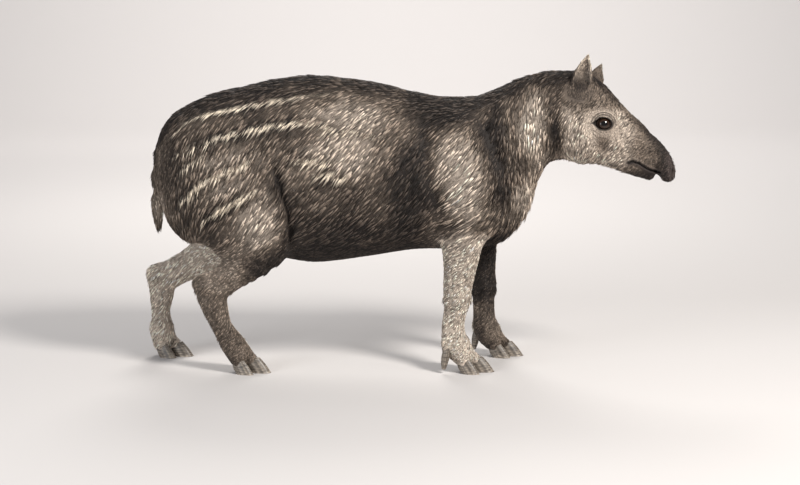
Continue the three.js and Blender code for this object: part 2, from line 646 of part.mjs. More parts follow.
// The slit of the closed mouth, right through from side to side, fading to its corners.
function mouthSlit() {
  const half = MOUTH_LINE.map((_, i) => (MOUTH_HEIGHT / 2) * (1 - (0.7 * i) / (MOUTH_LINE.length - 1)));
  const outline = [
    ...MOUTH_LINE.map(([x, z], i) => new THREE.Vector2(x, z + half[i])),
    ...MOUTH_LINE.map(([x, z], i) => new THREE.Vector2(x, z - half[i])).reverse(),
  ];
  const slit = new THREE.ExtrudeGeometry(new THREE.Shape(outline), { depth: 160, bevelEnabled: false });
  return onTurnedHead(slit.translate(0, 0, -80).rotateX(Math.PI / 2));
}

function nostril(side) {
  const [a, b, c] = NOSTRIL.radii;
  const hole = new THREE.SphereGeometry(1, 12, 8).scale(a, b, c);
  hole.rotateY(THREE.MathUtils.degToRad(NOSTRIL.pitch));
  return onTurnedHead(hole.translate(NOSTRIL.at[0], NOSTRIL.at[1] * side, NOSTRIL.at[2]));
}

// Ears: a leaf of skin rolled into a cup. It is nearly a tube at the root, opens on the way up, and closes
// to a round tip. base and tip place it on the straight head, and opening is the way the cup looks.

const EARS = {
  left: { base: [508, 55, 791], tip: [544, 66, 886], opening: [0.5, 0.86, 0.1] },
  right: { base: [490, -55, 791], tip: [524, -70, 918], opening: [0.36, -0.92, 0.1] },
};
const EAR_RADIUS = [20, 24, 28, 26, 17, 5];
const EAR_ROLL = [310, 262, 216, 186, 160, 140];
const EAR_WALL = [8, 6.5, 5.5, 5, 4.5, 4];
const EAR_ROWS = 9;
const EAR_COLUMNS = 9;

const along = (list, t) => {
  const at = Math.min(t * (list.length - 1), list.length - 1.0001);
  return THREE.MathUtils.lerp(list[Math.floor(at)], list[Math.floor(at) + 1], at % 1);
};

function ear({ base, tip, opening }, grow) {
  const root = new THREE.Vector3(...base);
  const axis = new THREE.Vector3(...tip).sub(root);
  const height = axis.length();
  axis.normalize();
  const open = new THREE.Vector3(...opening);
  open.addScaledVector(axis, -open.dot(axis)).normalize();
  const sideways = new THREE.Vector3().crossVectors(axis, open);
  const points = [];
  for (let row = 0; row <= EAR_ROWS; row += 1) {
    const t = row / EAR_ROWS;
    const [radius, wall] = [along(EAR_RADIUS, t), along(EAR_WALL, t)];
    const roll = THREE.MathUtils.degToRad(along(EAR_ROLL, t)) + (grow * 2.4) / radius;
    const middle = root.clone().addScaledVector(axis, height * t + (row === 0 ? -grow : 0));
    const arc = (r, k) => {
      const angle = roll * (k / (EAR_COLUMNS - 1) - 0.5);
      const [back, side] = [-r * Math.cos(angle), r * Math.sin(angle)];
      return middle.clone().addScaledVector(open, back).addScaledVector(sideways, side);
    };
    for (let k = 0; k < EAR_COLUMNS; k += 1) points.push(arc(radius + grow, k));
    for (let k = EAR_COLUMNS - 1; k >= 0; k -= 1) points.push(arc(radius - wall - grow, k));
  }
  const round = EAR_COLUMNS * 2;
  const faces = [];
  for (let row = 0; row < EAR_ROWS; row += 1)
    for (let k = 0; k < round; k += 1) {
      const [a, b] = [row * round + k, row * round + ((k + 1) % round)];
      faces.push(a, b + round, b, a, a + round, b + round);
    }
  for (const [first, flip] of [[0, false], [EAR_ROWS * round, true]])
    for (let k = 0; k < EAR_COLUMNS - 1; k += 1) {
      const quad = [first + k, first + k + 1, first + round - 2 - k, first + round - 1 - k];
      const [a, b, c, d] = flip ? quad.reverse() : quad;
      faces.push(a, b, c, a, c, d);
    }
  const geometry = new THREE.BufferGeometry().setFromPoints(points);
  geometry.setIndex(faces);
  return onTurnedHead(geometry);
}

const headFlesh = keptBeyond(fleshIn(boxOf(395, -240, 545, 810, 120, 915), HEAD_CELL), CUTS.poll);
const headSolid = Object.values(SIDES).reduce(
  (solid, side) => solid
    .add(solidOf(lidRing(side)))
    .subtract(solidOf(eyeball(side, GAP)))
    .subtract(solidOf(nostril(side))),
  headFlesh.subtract(solidOf(mouthSlit())),
);
const earSockets = Object.values(EARS).map((place) => solidOf(ear(place, GAP)));
add("head", earSockets.reduce((solid, socket) => solid.subtract(socket), headSolid), MATERIALS.coat);
for (const [name, side] of Object.entries(SIDES)) {
  add("eye_" + name, solidOf(eyeball(side, 0)), MATERIALS.eye);
  add("ear_" + name, solidOf(ear(EARS[name], 0)), MATERIALS.coat);
}

// Legs: an upper part down to the wrist or hock, and a lower part with the foot. The foot gives way to the
// hooves by the gap.

// A hoof: a flat sole with a rounded toe, walls that lean back, and a top that slopes down to the heel.
// A ring lies a share of the height up, is shrunk, and lies back by a share of the hoof's length.
const HOOF_ROUND = 12;
const HOOF_HEEL = 0.42; // the heel is this share lower than the front
const HOOF_RINGS = [
  { up: 0, shrink: 1, back: 0 },
  { up: 0.5, shrink: 0.9, back: 0.15 },
  { up: 1, shrink: 0.68, back: 0.31 },
];
// The small toe's hoof is a claw, narrow at its lower end.
const CLAW_HEEL = 0.1;
const CLAW_RINGS = [
  { up: 0, shrink: 0.5, back: 0 },
  { up: 0.3, shrink: 0.9, back: 0.02 },
  { up: 0.65, shrink: 1, back: 0 },
  { up: 1, shrink: 0.64, back: -0.05 },
];

function hoof({ length, width, height }, grow, rings = HOOF_RINGS, heel = HOOF_HEEL) {
  const points = [];
  const ring = ({ up, shrink, back }, z) => {
    for (let k = 0; k < HOOF_ROUND; k += 1) {
      const a = (k / HOOF_ROUND) * Math.PI * 2;
      const blunt = Math.cos(a) < 0 ? 0.74 : 1;
      const x = Math.cos(a) * (length / 2) * shrink * blunt - back * length;
      const y = Math.sin(a) * (width / 2) * shrink * (1 + 0.1 * Math.cos(a));
      const slope = 1 - heel * (0.5 - Math.cos(a) / 2);
      const out = 1 + grow / (width / 2);
      points.push(new THREE.Vector3(x * out, y * out, z ?? height * up * slope + grow));
    }
  };
  if (grow > 0) ring(rings[0], -10);
  ring(rings[0], grow > 0 ? undefined : 0);
  for (const r of rings.slice(1)) ring(r);
  const rows = points.length / HOOF_ROUND;
  const top = new THREE.Vector3();
  for (const p of points.slice(-HOOF_ROUND)) top.addScaledVector(p, 1 / HOOF_ROUND);
  points.push(new THREE.Vector3(0, 0, points[0].z), top.setZ(top.z + 2));
  const faces = [];
  for (let k = 0; k < HOOF_ROUND; k += 1) {
    const next = (k + 1) % HOOF_ROUND;
    for (let r = 0; r + 1 < rows; r += 1) {
      const [a, b] = [r * HOOF_ROUND + k, r * HOOF_ROUND + next];
      faces.push(a, b, b + HOOF_ROUND, a, b + HOOF_ROUND, a + HOOF_ROUND);
    }
    const last = (rows - 1) * HOOF_ROUND;
    faces.push(points.length - 2, next, k, points.length - 1, last + k, last + next);
  }
  const geometry = new THREE.BufferGeometry().setFromPoints(points);
  geometry.setIndex(faces);
  return geometry;
}

function hoofOf(foot, toe, grow) {
  const place = toePlace(foot, toe);
  return solidOf(hoof(toe, grow).rotateZ(place.heading).translate(place.x, place.y, 0));
}

// The small toe's hoof hangs clear of the floor, its end looking down and a little back.
function smallHoof(foot, grow) {
  const [x, y] = [foot.x - SMALL_TOE.back, foot.y + SMALL_TOE.out * foot.out];
  const claw = hoof(SMALL_TOE, grow, CLAW_RINGS, CLAW_HEEL);
  return solidOf(claw.rotateY(SMALL_TOE.lean).translate(x, y, SMALL_TOE.tip));
}

const FOOT_CELL = 13;
const UPPER_CELL = 19;
const UPPER_STRETCH = [1, 1, 1.6];
const CANNON_CELL = 15.5;
const FETLOCK_Z = 112;
for (const leg of legs) {
  const { foot } = leg;
  const joint = foot.fore ? WRIST_Z : HOCK_Z;
  const yMiddle = foot.out * (foot.fore ? HALF_STANCE_FORE : HALF_STANCE_HIND);
  const stations = LEG_STATIONS[foot.leg];
  const slice = (from, to, halfWide, cell, stretch) => {
    const near = stations.filter((s) => s.at[2] > from - 40 && s.at[2] < to + 40);
    const xs = near.flatMap((s) => [s.at[0] - s.deep, s.at[0] + s.deep]);
    const [x0, x1] = [Math.min(...xs) - cell * 2, Math.max(...xs) + cell * 2];
    const box = boxOf(x0, yMiddle - halfWide, from - cell * 2, x1, yMiddle + halfWide, to + cell * 2);
    return fleshIn(box, cell, stretch);
  };
  const above = (solid, z) => solid.trimByPlane([0, 0, 1], z + GAP / 2);
  const below = (solid, z) => solid.trimByPlane([0, 0, -1], -(z - GAP / 2));
  const upper = slice(joint, 520, 130, UPPER_CELL, UPPER_STRETCH).intersect(legBlock(leg, 0));
  add(foot.leg + "_upper", above(upper, joint), MATERIALS.coat);
  const cannon = slice(FETLOCK_Z, joint, 85, CANNON_CELL, [1, 1, 1.5]);
  add(foot.leg + "_lower", above(below(cannon, joint), FETLOCK_Z), MATERIALS.coat);

  const footBox = boxOf(foot.x - 110, yMiddle - 85, -8, foot.x + 100, yMiddle + 85, FETLOCK_Z + 20);
  const toes = foot.fore ? FORE_TOES : HIND_TOES;
  let footSolid = below(fleshIn(footBox, FOOT_CELL), FETLOCK_Z);
  for (const toe of toes) {
    footSolid = footSolid.subtract(hoofOf(foot, toe, GAP));
    add("hoof_" + foot.leg + "_" + toe.name, hoofOf(foot, toe, 0), MATERIALS.horn);
  }
  if (foot.fore) {
    footSolid = footSolid.subtract(smallHoof(foot, GAP));
    add("hoof_" + foot.leg + "_small", smallHoof(foot, 0), MATERIALS.horn);
  }
  add(foot.leg + "_foot", footSolid, MATERIALS.coat);
}

// The frame's origin lies on the floor, under the middle of the animal's box.
const box = new THREE.Box3().setFromObject(tapir);
const middle = box.getCenter(new THREE.Vector3());
for (const mesh of tapir.children) mesh.geometry.translate(-middle.x, -middle.y, -box.min.z);

export default tapir;
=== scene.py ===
# %% [markdown]
# # A young tapir, standing still
# The dressed model of a half-grown Malayan tapir, life size. The solids under it give the sizes.
# This script puts one skin over them, lays the short coat on it, and sets the eyes and hooves in
# their places. Lengths are worked out in millimetres on the straight animal, and turned into metres
# when a piece is made.

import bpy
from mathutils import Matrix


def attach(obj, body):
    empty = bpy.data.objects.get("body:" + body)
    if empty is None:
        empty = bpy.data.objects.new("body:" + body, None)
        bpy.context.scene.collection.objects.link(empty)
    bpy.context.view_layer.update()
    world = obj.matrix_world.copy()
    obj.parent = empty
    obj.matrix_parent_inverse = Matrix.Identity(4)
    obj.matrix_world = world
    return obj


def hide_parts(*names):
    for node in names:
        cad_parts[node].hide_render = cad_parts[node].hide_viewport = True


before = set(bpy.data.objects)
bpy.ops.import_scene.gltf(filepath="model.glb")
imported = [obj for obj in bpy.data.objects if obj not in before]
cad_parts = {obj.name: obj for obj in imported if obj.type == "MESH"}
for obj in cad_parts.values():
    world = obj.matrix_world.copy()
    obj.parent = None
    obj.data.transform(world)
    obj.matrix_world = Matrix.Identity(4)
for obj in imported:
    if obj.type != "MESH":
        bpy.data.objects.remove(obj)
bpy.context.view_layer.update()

# %% Tools
import math

import bpy
import numpy as np
from mathutils import Vector

ALONG = 22.538  # the solids' origin lies this far behind the drawing's own


def metres(p):
    """Places of the drawing, in millimetres, as places of the frame, in metres."""
    return (np.asarray(p, float) + [ALONG, 0, 0]) / 1000


def placed(name, data):
    """Puts an object with this data into the scene."""
    made = bpy.data.objects.new(name, data)
    bpy.context.scene.collection.objects.link(made)
    return made


print("the drawing's origin lies at", metres([0, 0, 0]))

# %% [markdown]
# ## Camera
# The picture is drawn from a little above the animal's back, far enough away for its feet to hold
# their sizes. A long lens could stand anywhere on that line of sight. 5.2 m off the right flank,
# 1.14 m up and looking 8.5 degrees down puts nose, feet and tail where they are in the picture.

# %% Camera
FILM_WIDTH = 36
PICTURE_WIDTH, FOCAL_LENGTH = 800, 1777  # in pixels of the picture
LOOK_DOWN = 8.5
camera_data = bpy.data.cameras.new("camera")
camera_data.sensor_width = FILM_WIDTH
camera_data.lens = FILM_WIDTH * FOCAL_LENGTH / PICTURE_WIDTH
camera = placed("camera", camera_data)
camera.location = (-0.01343, -5.2, 1.141)
camera.rotation_euler = (math.radians(90 - LOOK_DOWN), 0, 0)
bpy.context.scene.camera = camera
print(f"lens {camera_data.lens:.1f} mm")

# %% [markdown]
# ## Floor and light
# A pale floor that bends up into a wall far behind keeps the animal's outline clear. It could be a
# plane under a plain sky, but the bend leaves no line behind the feet. The light is soft, from
# above and ahead of the animal on the camera's side, with a weak one from behind.


# %% Floor
def plain_material(name, colour, rough):
    material = bpy.data.materials.new(name)
    material.use_nodes = True
    shader = material.node_tree.nodes["Principled BSDF"]
    shader.inputs["Base Color"].default_value = (*colour, 1)
    shader.inputs["Roughness"].default_value = rough
    return material, shader


FLOOR_FRONT, BEND_START, BEND_RADIUS, WALL_TOP, FLOOR_HALF = -9, 8, 5, 12, 18
pale, _ = plain_material("pale_floor", (0.54, 0.517, 0.503), 0.9)
arc = [(BEND_START + BEND_RADIUS * math.sin(a), BEND_RADIUS - BEND_RADIUS * math.cos(a))
       for a in np.linspace(0, math.pi / 2, 16)]
bend = [(FLOOR_FRONT, 0.0), *arc, (BEND_START + BEND_RADIUS, WALL_TOP)]
count = len(bend)
floor_data = bpy.data.meshes.new("floor")
floor_data.from_pydata([(x, y, z) for x in (-FLOOR_HALF, FLOOR_HALF) for y, z in bend], [],
                       [(n, n + 1, n + 1 + count, n + count) for n in range(count - 1)])
floor_data.polygons.foreach_set("use_smooth", [True] * (count - 1))
floor_data.materials.append(pale)
placed("floor", floor_data)
print("floor of", count - 1, "faces")


# %% Lights
def area_light(name, place, target, size, watts, colour):
    """A round soft light at a place, turned to its target."""
    data = bpy.data.lights.new(name, "AREA")
    data.shape = "DISK"
    data.size = size
    data.energy = watts
    data.color = colour
    made = placed(name, data)
    made.location = place
    made.rotation_euler = (Vector(target) - Vector(place)).to_track_quat("-Z", "Y").to_euler()


area_light("key", (2.6, -3.0, 3.6), (0, 0, 0.5), 1.3, 335, (1, 0.97, 0.93))
area_light("fill", (-3.8, -3.2, 1.8), (0, 0, 0.5), 2.6, 115, (0.94, 0.97, 1))
area_light("back", (-0.5, 3.6, 3.4), (0, 0, 0.6), 2.0, 130, (1, 0.98, 0.95))
area_light("backdrop", (0, 5.6, 6.2), (0, 12.5, 1.2), 4.0, 700, (1, 0.98, 0.96))
world = bpy.data.worlds.new("studio")
world.use_nodes = True
sky = world.node_tree.nodes["Background"]
sky.inputs["Color"].default_value = (0.93, 0.94, 1.0, 1)
sky.inputs["Strength"].default_value = 0.34
bpy.context.scene.world = world
bpy.context.scene.view_settings.view_transform = "Standard"
print("lights: key, fill, back, backdrop, and a pale sky")


# %% [markdown]
# ## The body as one field
# A tapir's trunk, neck and head are one barrel that narrows towards the snout, and its limbs are
# soft tubes. The same stations as in the solids give a field over space: negative inside, zero on
# the surface. Everything that follows, the skin, the wrinkles and the places of the hairs, is read
# off this one field, so that it all agrees. It could also be sculpted by hand, but then the skin
# would drift away from the solids under it.

# %% Small field tools
def melt(a, b, k):
    """Joins two fields with a soft valley k wide."""
    h = np.maximum(k - np.abs(a - b), 0) / k
    return np.minimum(a, b) - h * h * k / 4


def carve(a, b, k):
    """Takes field b out of field a with a soft edge k wide."""
    return -melt(-a, b, k)


def smooth(x, low, high):
    """0 at low, 1 at high, with a soft step between."""
    t = np.clip((x - low) / (high - low), 0, 1)
    return t * t * (3 - 2 * t)


def hump(x, middle, width):
    """A soft bump: 1 at the middle, fading to nothing about two widths away."""
    return np.exp(-(((x - middle) / width) ** 2))


def both_sides(p):
    """A copy of the places, with those of the right side mirrored to the left."""
    return np.column_stack([p[:, 0], np.abs(p[:, 1]), p[:, 2]])


def unit(v):
    return np.asarray(v, float) / np.linalg.norm(v)


def spoke(length, share):
    """The distance to an oval along the line from its middle. share is 1 on the oval."""
    share = np.maximum(share, 1e-6)
    return length * (1 - 1 / share)


def curve(rows, steps):
    """Rows of numbers drawn through the given ones by a smooth curve."""
    rows = np.array(rows, float)
    padded = np.vstack([rows[:1], rows, rows[-1:]])
    fine = []
    for p0, p1, p2, p3 in zip(padded, padded[1:], padded[2:], padded[3:]):
        m1, m2 = (p2 - p0) / 2, (p3 - p1) / 2
        a = 2 * p1 - 2 * p2 + m1 + m2
        b = -3 * p1 + 3 * p2 - 2 * m1 - m2
        for k in range(steps):
            t = k / steps
            fine.append(((a * t + b) * t + m1) * t + p1)
    return np.array(fine + [rows[-1]])


print("two fields at zero, melted 10 wide, meet at", melt(np.zeros(1), np.zeros(1), 10)[0])

# %% [markdown]
# The trunk is strung on ribs, egg-shaped slices across the barrel. Each has the x and z of its top
# and its bottom, its half width, and how much wider it is low down. A few ribs with a smooth curve
# through them are easier to set by the picture than a net of points.

# %% Ribs of the trunk, neck and head
RIBS = [
    (-749, 652, -739, 495, 58, 0),
    (-731, 702, -713, 445, 96, 0),
    (-699, 744, -677, 408, 123, 0),
    (-652, 774, -632, 390, 139, 0),
    (-578, 805, -560, 371, 168, 0),
    (-497, 824, -485, 351, 192, 0.04),
    (-400, 846, -400, 325, 208, 0.08),
    (-300, 857, -300, 308, 219, 0.1),
    (-223, 852, -223, 312, 220, 0.1),
    (-109, 837, -109, 328, 213, 0.08),
    (10, 809, 5, 345, 196, 0.05),
    (100, 795, 120, 348, 176, 0.02),
    (186, 798, 255, 361, 163, 0),
    (230, 812, 325, 431, 148, 0),
    (268, 828, 353, 491, 129, 0.02),
    (320, 851, 368, 544, 113, 0.05),
    (385, 868, 400, 598, 101, 0.04),
    (445, 872, 442, 612, 97, -0.02),
    (503, 868, 469, 608, 95, -0.04),
    (553, 839, 502, 601, 87, -0.02),
    (588, 804, 530, 603, 76, 0),
    (625, 764, 563, 599, 63, 0),
    (659, 733, 600, 589, 52, 0),
    (688, 702, 644, 573, 43, 0),
    (702, 651, 694, 560, 35, 0),
]
RUMP_ROUND, LIP_ROUND = 10, 25
POINTS_AT_ONCE = 60000


def ribbed(ribs):
    """The field of a barrel through ribs."""
    rows = curve(ribs, 4)
    top, bottom, wide, egg = rows[:, 0:2], rows[:, 2:4], rows[:, 4], rows[:, 5]
    deep = np.hypot(*(top - bottom).T) / 2
    up = (top - bottom) / (2 * deep[:, None])
    table = np.column_stack([(top + bottom) / 2, up, deep, wide, egg])

    def part(p):
        x, y, z = p.T
        ahead = (x[:, None] - table[:, 0]) * table[:, 3] - (z[:, None] - table[:, 1]) * table[:, 2]
        behind = ahead[:, 1:] < 0
        i = np.where(behind.any(1), behind.argmax(1), len(table) - 1)
        j = np.minimum(i + 1, len(table) - 1)
        row = np.arange(len(p))
        here, after = ahead[row, i], ahead[row, j]
        inside = (here > 0) & (after < 0)
        t = np.where(inside, here / np.where(inside, here - after, 1), 0)
        cx, cz, ux, uz, d, w, e = (table[i] + (table[j] - table[i]) * t[:, None]).T
        rise = (x - cx) * ux + (z - cz) * uz
        along = np.where(inside, 0, here)
        lean = 1 - e * np.clip(rise / d, -1, 1)
        cap = np.where(along < 0, RUMP_ROUND, LIP_ROUND)
        share = np.sqrt((rise / d) ** 2 + (y / (w * lean)) ** 2 + (along / cap) ** 2)
        return spoke(np.sqrt(rise * rise + y * y + along * along), share)

    def field(p):
        return np.concatenate([part(q) for q in np.array_split(p, len(p) // POINTS_AT_ONCE + 1)])

    return field


trunk = ribbed(RIBS)
print(len(RIBS), "ribs")

# %% [markdown]
# Legs, snout and tail are tubes of oval slices, and the muscles that stand out are single lumps. A
# tube or a lump is only worked out close by, because most of the space is far from it.

# %% Tubes and lumps
FAR = 400.0


def limb(stations, reach=75):
    """A limb of oval sections through stations of x, y, z, half depth and half width."""
    fine = curve(stations, 3)
    a, b = fine[:-1], fine[1:]
    run = b[:, :3] - a[:, :3]
    length = np.linalg.norm(run, axis=1)
    along = run / length[:, None]
    across = np.array([0, 1, 0]) - along * along[:, 1:2]
    across /= np.linalg.norm(across, axis=1)[:, None]
    fore = np.cross(across, along)
    thick = fine[:, 3:].max() + reach
    low, high = fine[:, :3].min(0) - thick, fine[:, :3].max(0) + thick

    def field(p):
        d = np.full(len(p), FAR)
        near = ((p > low) & (p < high)).all(1)
        q = p[near]
        least = np.full(len(q), FAR)
        for i in range(len(a)):
            v = q - a[i, :3]
            s = v @ along[i]
            t = np.clip(s / length[i], 0, 1)
            over = s - t * length[i]
            f, c = v @ fore[i], v @ across[i]
            deep = a[i, 3] + (b[i, 3] - a[i, 3]) * t
            wide = a[i, 4] + (b[i, 4] - a[i, 4]) * t
            share = np.sqrt((f / deep) ** 2 + (c / wide) ** 2 + (over / np.minimum(deep, wide)) ** 2)
            least = np.minimum(least, spoke(np.sqrt(f * f + c * c + over * over), share))
        d[near] = least
        return d

    return field


def mass(at, radii, pitch):
    """An ellipsoid, its nose lifted by pitch degrees."""
    c, s = math.cos(math.radians(pitch)), math.sin(math.radians(pitch))
    turn = np.array([[c, 0, s], [0, 1, 0], [-s, 0, c]])

    def field(p):
        v = (p - at) @ turn.T
        return spoke(np.linalg.norm(v, axis=1), np.linalg.norm(v / radii, axis=1))

    return field


try_ball = mass((0, 0, 0), (9, 9, 9), 0)
print("12 from the middle of a ball of radius 9 the field is", try_ball(np.array([[12.0, 0, 0]]))[0])

# %% Limbs, snout and tail: x, y, z, half depth and half width
SNOUT = [
    (638, 0, 682, 44, 37),
    (686, 0, 651, 42.5, 37),
    (722, 0, 621, 36, 33),
    (742, 0, 595, 28, 28),
    (750, 0, 577, 21, 24),
]
FORELEG = [
    (150, 128, 521, 88, 62),
    (146, 124, 441, 72, 57),
    (143, 119, 369, 59, 50),
    (138, 115, 306, 49, 43),
    (132, 112, 253, 44, 39),
    (131, 111, 213, 41, 39),
    (125, 110, 177, 35, 33),
    (119, 110, 137, 34, 33),
    (122, 111, 104, 36, 38),
    (131, 112, 75, 40, 44),
    (148, 112, 50, 34, 43),
]
HINDLEG_RIGHT = [
    (-505, 118, 496, 142, 72),
    (-482, 121, 421, 119, 66),
    (-462, 120, 359, 84, 56),
    (-507, 117, 302, 53, 46),
    (-553, 115, 265, 46, 39),
    (-580, 114, 234, 47, 36),
    (-575, 114, 194, 40, 34),
    (-557, 115, 141, 31, 31),
    (-541, 115, 111, 32, 33),
    (-523, 115, 81, 36, 39),
    (-502, 115, 49, 36, 43),
]
HINDLEG_LEFT = [
    (-512, 118, 496, 142, 72),
    (-515, 121, 421, 112, 66),
    (-560, 120, 357, 80, 56),
    (-650, 117, 293, 52, 46),
    (-718, 115, 257, 45, 39),
    (-753, 114, 229, 44, 36),
    (-759, 114, 191, 38, 34),
    (-763, 115, 143, 30, 31),
    (-762, 115, 111, 31, 33),
    (-761, 115, 81, 36, 39),
    (-754, 115, 49, 36, 43),
]
TAIL = [
    (-742, 0, 515, 20, 24),
    (-750, 0, 491, 18.5, 21),
    (-751, 0, 463, 16.5, 18),
    (-750, 0, 436, 14, 15),
    (-749, 0, 411, 10, 11),
]
BODY_MASSES = [
    mass((118, 104, 613), (88, 70, 132), 14),  # shoulder blade
    mass((180, 116, 506), (92, 60, 108), -22),  # upper arm
    mass((-540, 102, 571), (172, 80, 170), 0),  # haunch
    mass((-612, 86, 491), (100, 72, 116), -18),  # buttock
    mass((-425, 122, 411), (76, 56, 92), -20),  # stifle
    mass((-714, 0, 541), (44, 42, 42), 0),  # tail root
]
HEAD_MASSES = [
    mass((494, 50, 691), (62, 48, 70), 20),  # jaw muscle
    mass((560, 52, 697), (60, 24, 20), -32),  # cheek bone
    mass((562, 46, 759), (44, 28, 22), -38),  # brow ridge
]
LEFT_FORE_REACH, CANNON_Z, REACH_LOST = 100, 137, 0.67 / 375


def swung(stations, reach):
    """The leg swung forward, with less and less of the reach above the cannon."""
    return [(x + reach * (1 - REACH_LOST * max(z - CANNON_Z, 0)), y, z, d, w)
            for x, y, z, d, w in stations]


LEGS = {
    "foreleg_left": (1, swung(FORELEG, LEFT_FORE_REACH)),
    "foreleg_right": (-1, FORELEG),
    "hindleg_left": (1, HINDLEG_LEFT),
    "hindleg_right": (-1, HINDLEG_RIGHT),
}

print("legs:", ", ".join(LEGS))

# %% [markdown]
# A tapir has three hoofed toes on each foot, and a small fourth one on the outer side of each
# forefoot that barely touches the ground. The feet are spread, so each toe has a heading of its
# own.

# %% Toes
# Name, how far ahead and to the outer side, degrees of splay, the hoof's length, width and height.
SIDE_HOOF, MIDDLE_HOOF = (63, 29, 41), (74, 37, 45)
FORE_TOES = [("inner", 22, -34, -10, *SIDE_HOOF), ("middle", 55, 0, 0, *MIDDLE_HOOF),
             ("outer", 19, 34, 13, *SIDE_HOOF)]
HIND_TOES = [("inner", 19, -34, -11, *SIDE_HOOF), ("middle", 55, 0, 0, *MIDDLE_HOOF),
             ("outer", 19, 34, 11, *SIDE_HOOF)]
FORE_TURN, HIND_TURN = math.radians(-4), math.radians(-12)
SMALL_TOE = {"back": 58, "out": 31, "tip": 13, "lean": 0.13, "size": (27, 23, 74)}
# The point of the heel bone behind each hock, as on a left leg: its middle, and its radii.
HOCK_POINTS = {
    "hindleg_right": ((-609, 114, 263), (30, 20, 25)),
    "hindleg_left": ((-772, 114, 255), (30, 20, 25)),
}


def toe_places(leg):
    """Where the hooves of a foot stand: name, x, y, heading, length, width and height."""
    side, stations = LEGS[leg]
    x, y = stations[-1][0], stations[-1][1] * side
    toes, turn = (FORE_TOES, FORE_TURN) if leg.startswith("fore") else (HIND_TOES, HIND_TURN)
    c, s = math.cos(turn), math.sin(turn)
    return [(name, x + ahead * c - aside * side * s, y + ahead * s + aside * side * c,
             math.radians(splay) * side + turn, *size) for name, ahead, aside, splay, *size in toes]


def small_toe_place(leg):
    side, stations = LEGS[leg]
    return stations[-1][0] - SMALL_TOE["back"], stations[-1][1] * side + SMALL_TOE["out"] * side


def foot_fields(leg):
    """The tubes of a foot's toes, from the ball of the foot to each hoof."""
    side, stations = LEGS[leg]
    fx, fy, fz = stations[-1][0], stations[-1][1] * side, stations[-1][2]
    fields = []
    toes = FORE_TOES if leg.startswith("fore") else HIND_TOES
    for (_, x, y, heading, length, width, height), toe in zip(toe_places(leg), toes):
        r = width * 0.5
        ux, uy = math.cos(heading) * length, math.sin(heading) * length
        root = (fx - 4, fy + toe[2] * side * 0.45, fz + 4, r * 1.3, r * 1.3)
        ball = (x - ux * 0.31, y - uy * 0.31, height * 0.86, r, r)
        tip = (x - ux * 0.18, y - uy * 0.18, height * 0.5, r * 0.6, r * 0.62)
        fields.append(limb([root, ball, tip], 30))
    if leg.startswith("fore"):
        x, y = small_toe_place(leg)
        small = [(x + 20, y - 10 * side, 118, 18, 16), (x + 10, y - side, 94, 15, 13),
                 (x + 7, y, 74, 11, 10)]
        fields.append(limb(small, 30))
    return fields


def leg_bones(leg, stations):
    """A leg down to the ball of its foot, with the hock's point on a hind leg."""
    bare = limb(stations)
    if leg not in HOCK_POINTS:
        return bare
    point = mass(*HOCK_POINTS[leg], 0)
    return lambda p: melt(bare(p), point(p), 30)


leg_fields = {leg: (side, leg_bones(leg, stations), foot_fields(leg), stations[-1][0])
              for leg, (side, stations) in LEGS.items()}
snout = limb(SNOUT)
tail = limb(TAIL)
print("toes of a foot:", {leg: len(fields[2]) for leg, fields in leg_fields.items()})

# %% [markdown]
# The head looks a little to the animal's right. The neck takes the turn up between two places along
# x. All forms of the face are drawn on the straight head, which is easier, and each place asked
# about is first turned back to it.

# %% The turn of the head
HEAD_TURN = math.radians(-15)
TURN_PIVOT = np.array([380.0, 0, 0])
TURN_FROM, TURN_TO = 310, 450
MUSCLE_MELT, HEAD_MELT, LEG_MELT, TOE_MELT = 60, 30, 38, 9
SOLE_Z = 4


def straightened(p):
    """Takes points of the turned head back to where they were on the straight animal."""
    angle = -HEAD_TURN * smooth(p[:, 0], TURN_FROM, TURN_TO)
    c, s = np.cos(angle), np.sin(angle)
    dx, y = p[:, 0] - TURN_PIVOT[0], p[:, 1]
    return np.column_stack([TURN_PIVOT[0] + dx * c - y * s, dx * s + y * c, p[:, 2]])


head_cos, head_sin = math.cos(HEAD_TURN), math.sin(HEAD_TURN)
TO_TURNED = np.array([[head_cos, head_sin, 0], [-head_sin, head_cos, 0], [0, 0, 1]])


def bare_head(p):
    """The straight head without ears and lids."""
    d = trunk(p)
    for m in HEAD_MASSES:
        d = melt(d, m(both_sides(p)), HEAD_MELT)
    width = 28 + (9 - 28) * smooth(p[:, 0], 640, 712)
    return np.where(p[:, 0] < 560, d, melt(d, snout(p), width))


def torso(p):
    """Trunk and legs, without the tail."""
    d = trunk(p)
    for m in BODY_MASSES:
        d = melt(d, m(both_sides(p)), MUSCLE_MELT)
    for side, leg, toes, foot_x in leg_fields.values():
        near = (p[:, 0] > foot_x - 260) & (p[:, 0] < foot_x + 420) & (p[:, 2] < 760)
        near &= p[:, 1] * side > -60
        q = p[near]
        e = leg(q * [1, side, 1])
        low = q[:, 2] < 130
        for toe in toes:
            e[low] = melt(e[low], toe(q[low]), TOE_MELT)
        e = np.maximum(e, SOLE_Z - q[:, 2])
        d[near] = melt(d[near], e, LEG_MELT)
    return d


print(f"260 out from the barrel's middle the field is {torso(np.array([[-300.0, 260, 580]]))[0]:.0f}")

# %% [markdown]
# ## Ears, eyes and the small forms of the face
# A tapir's ear is a leaf of skin rolled into a cup, nearly a tube at its root. Its wall is the
# shell between two radii, bounded by the angle that the leaf is rolled through, so it can be melted
# into the head. A bent sheet with a thickness would need a seam at its root.

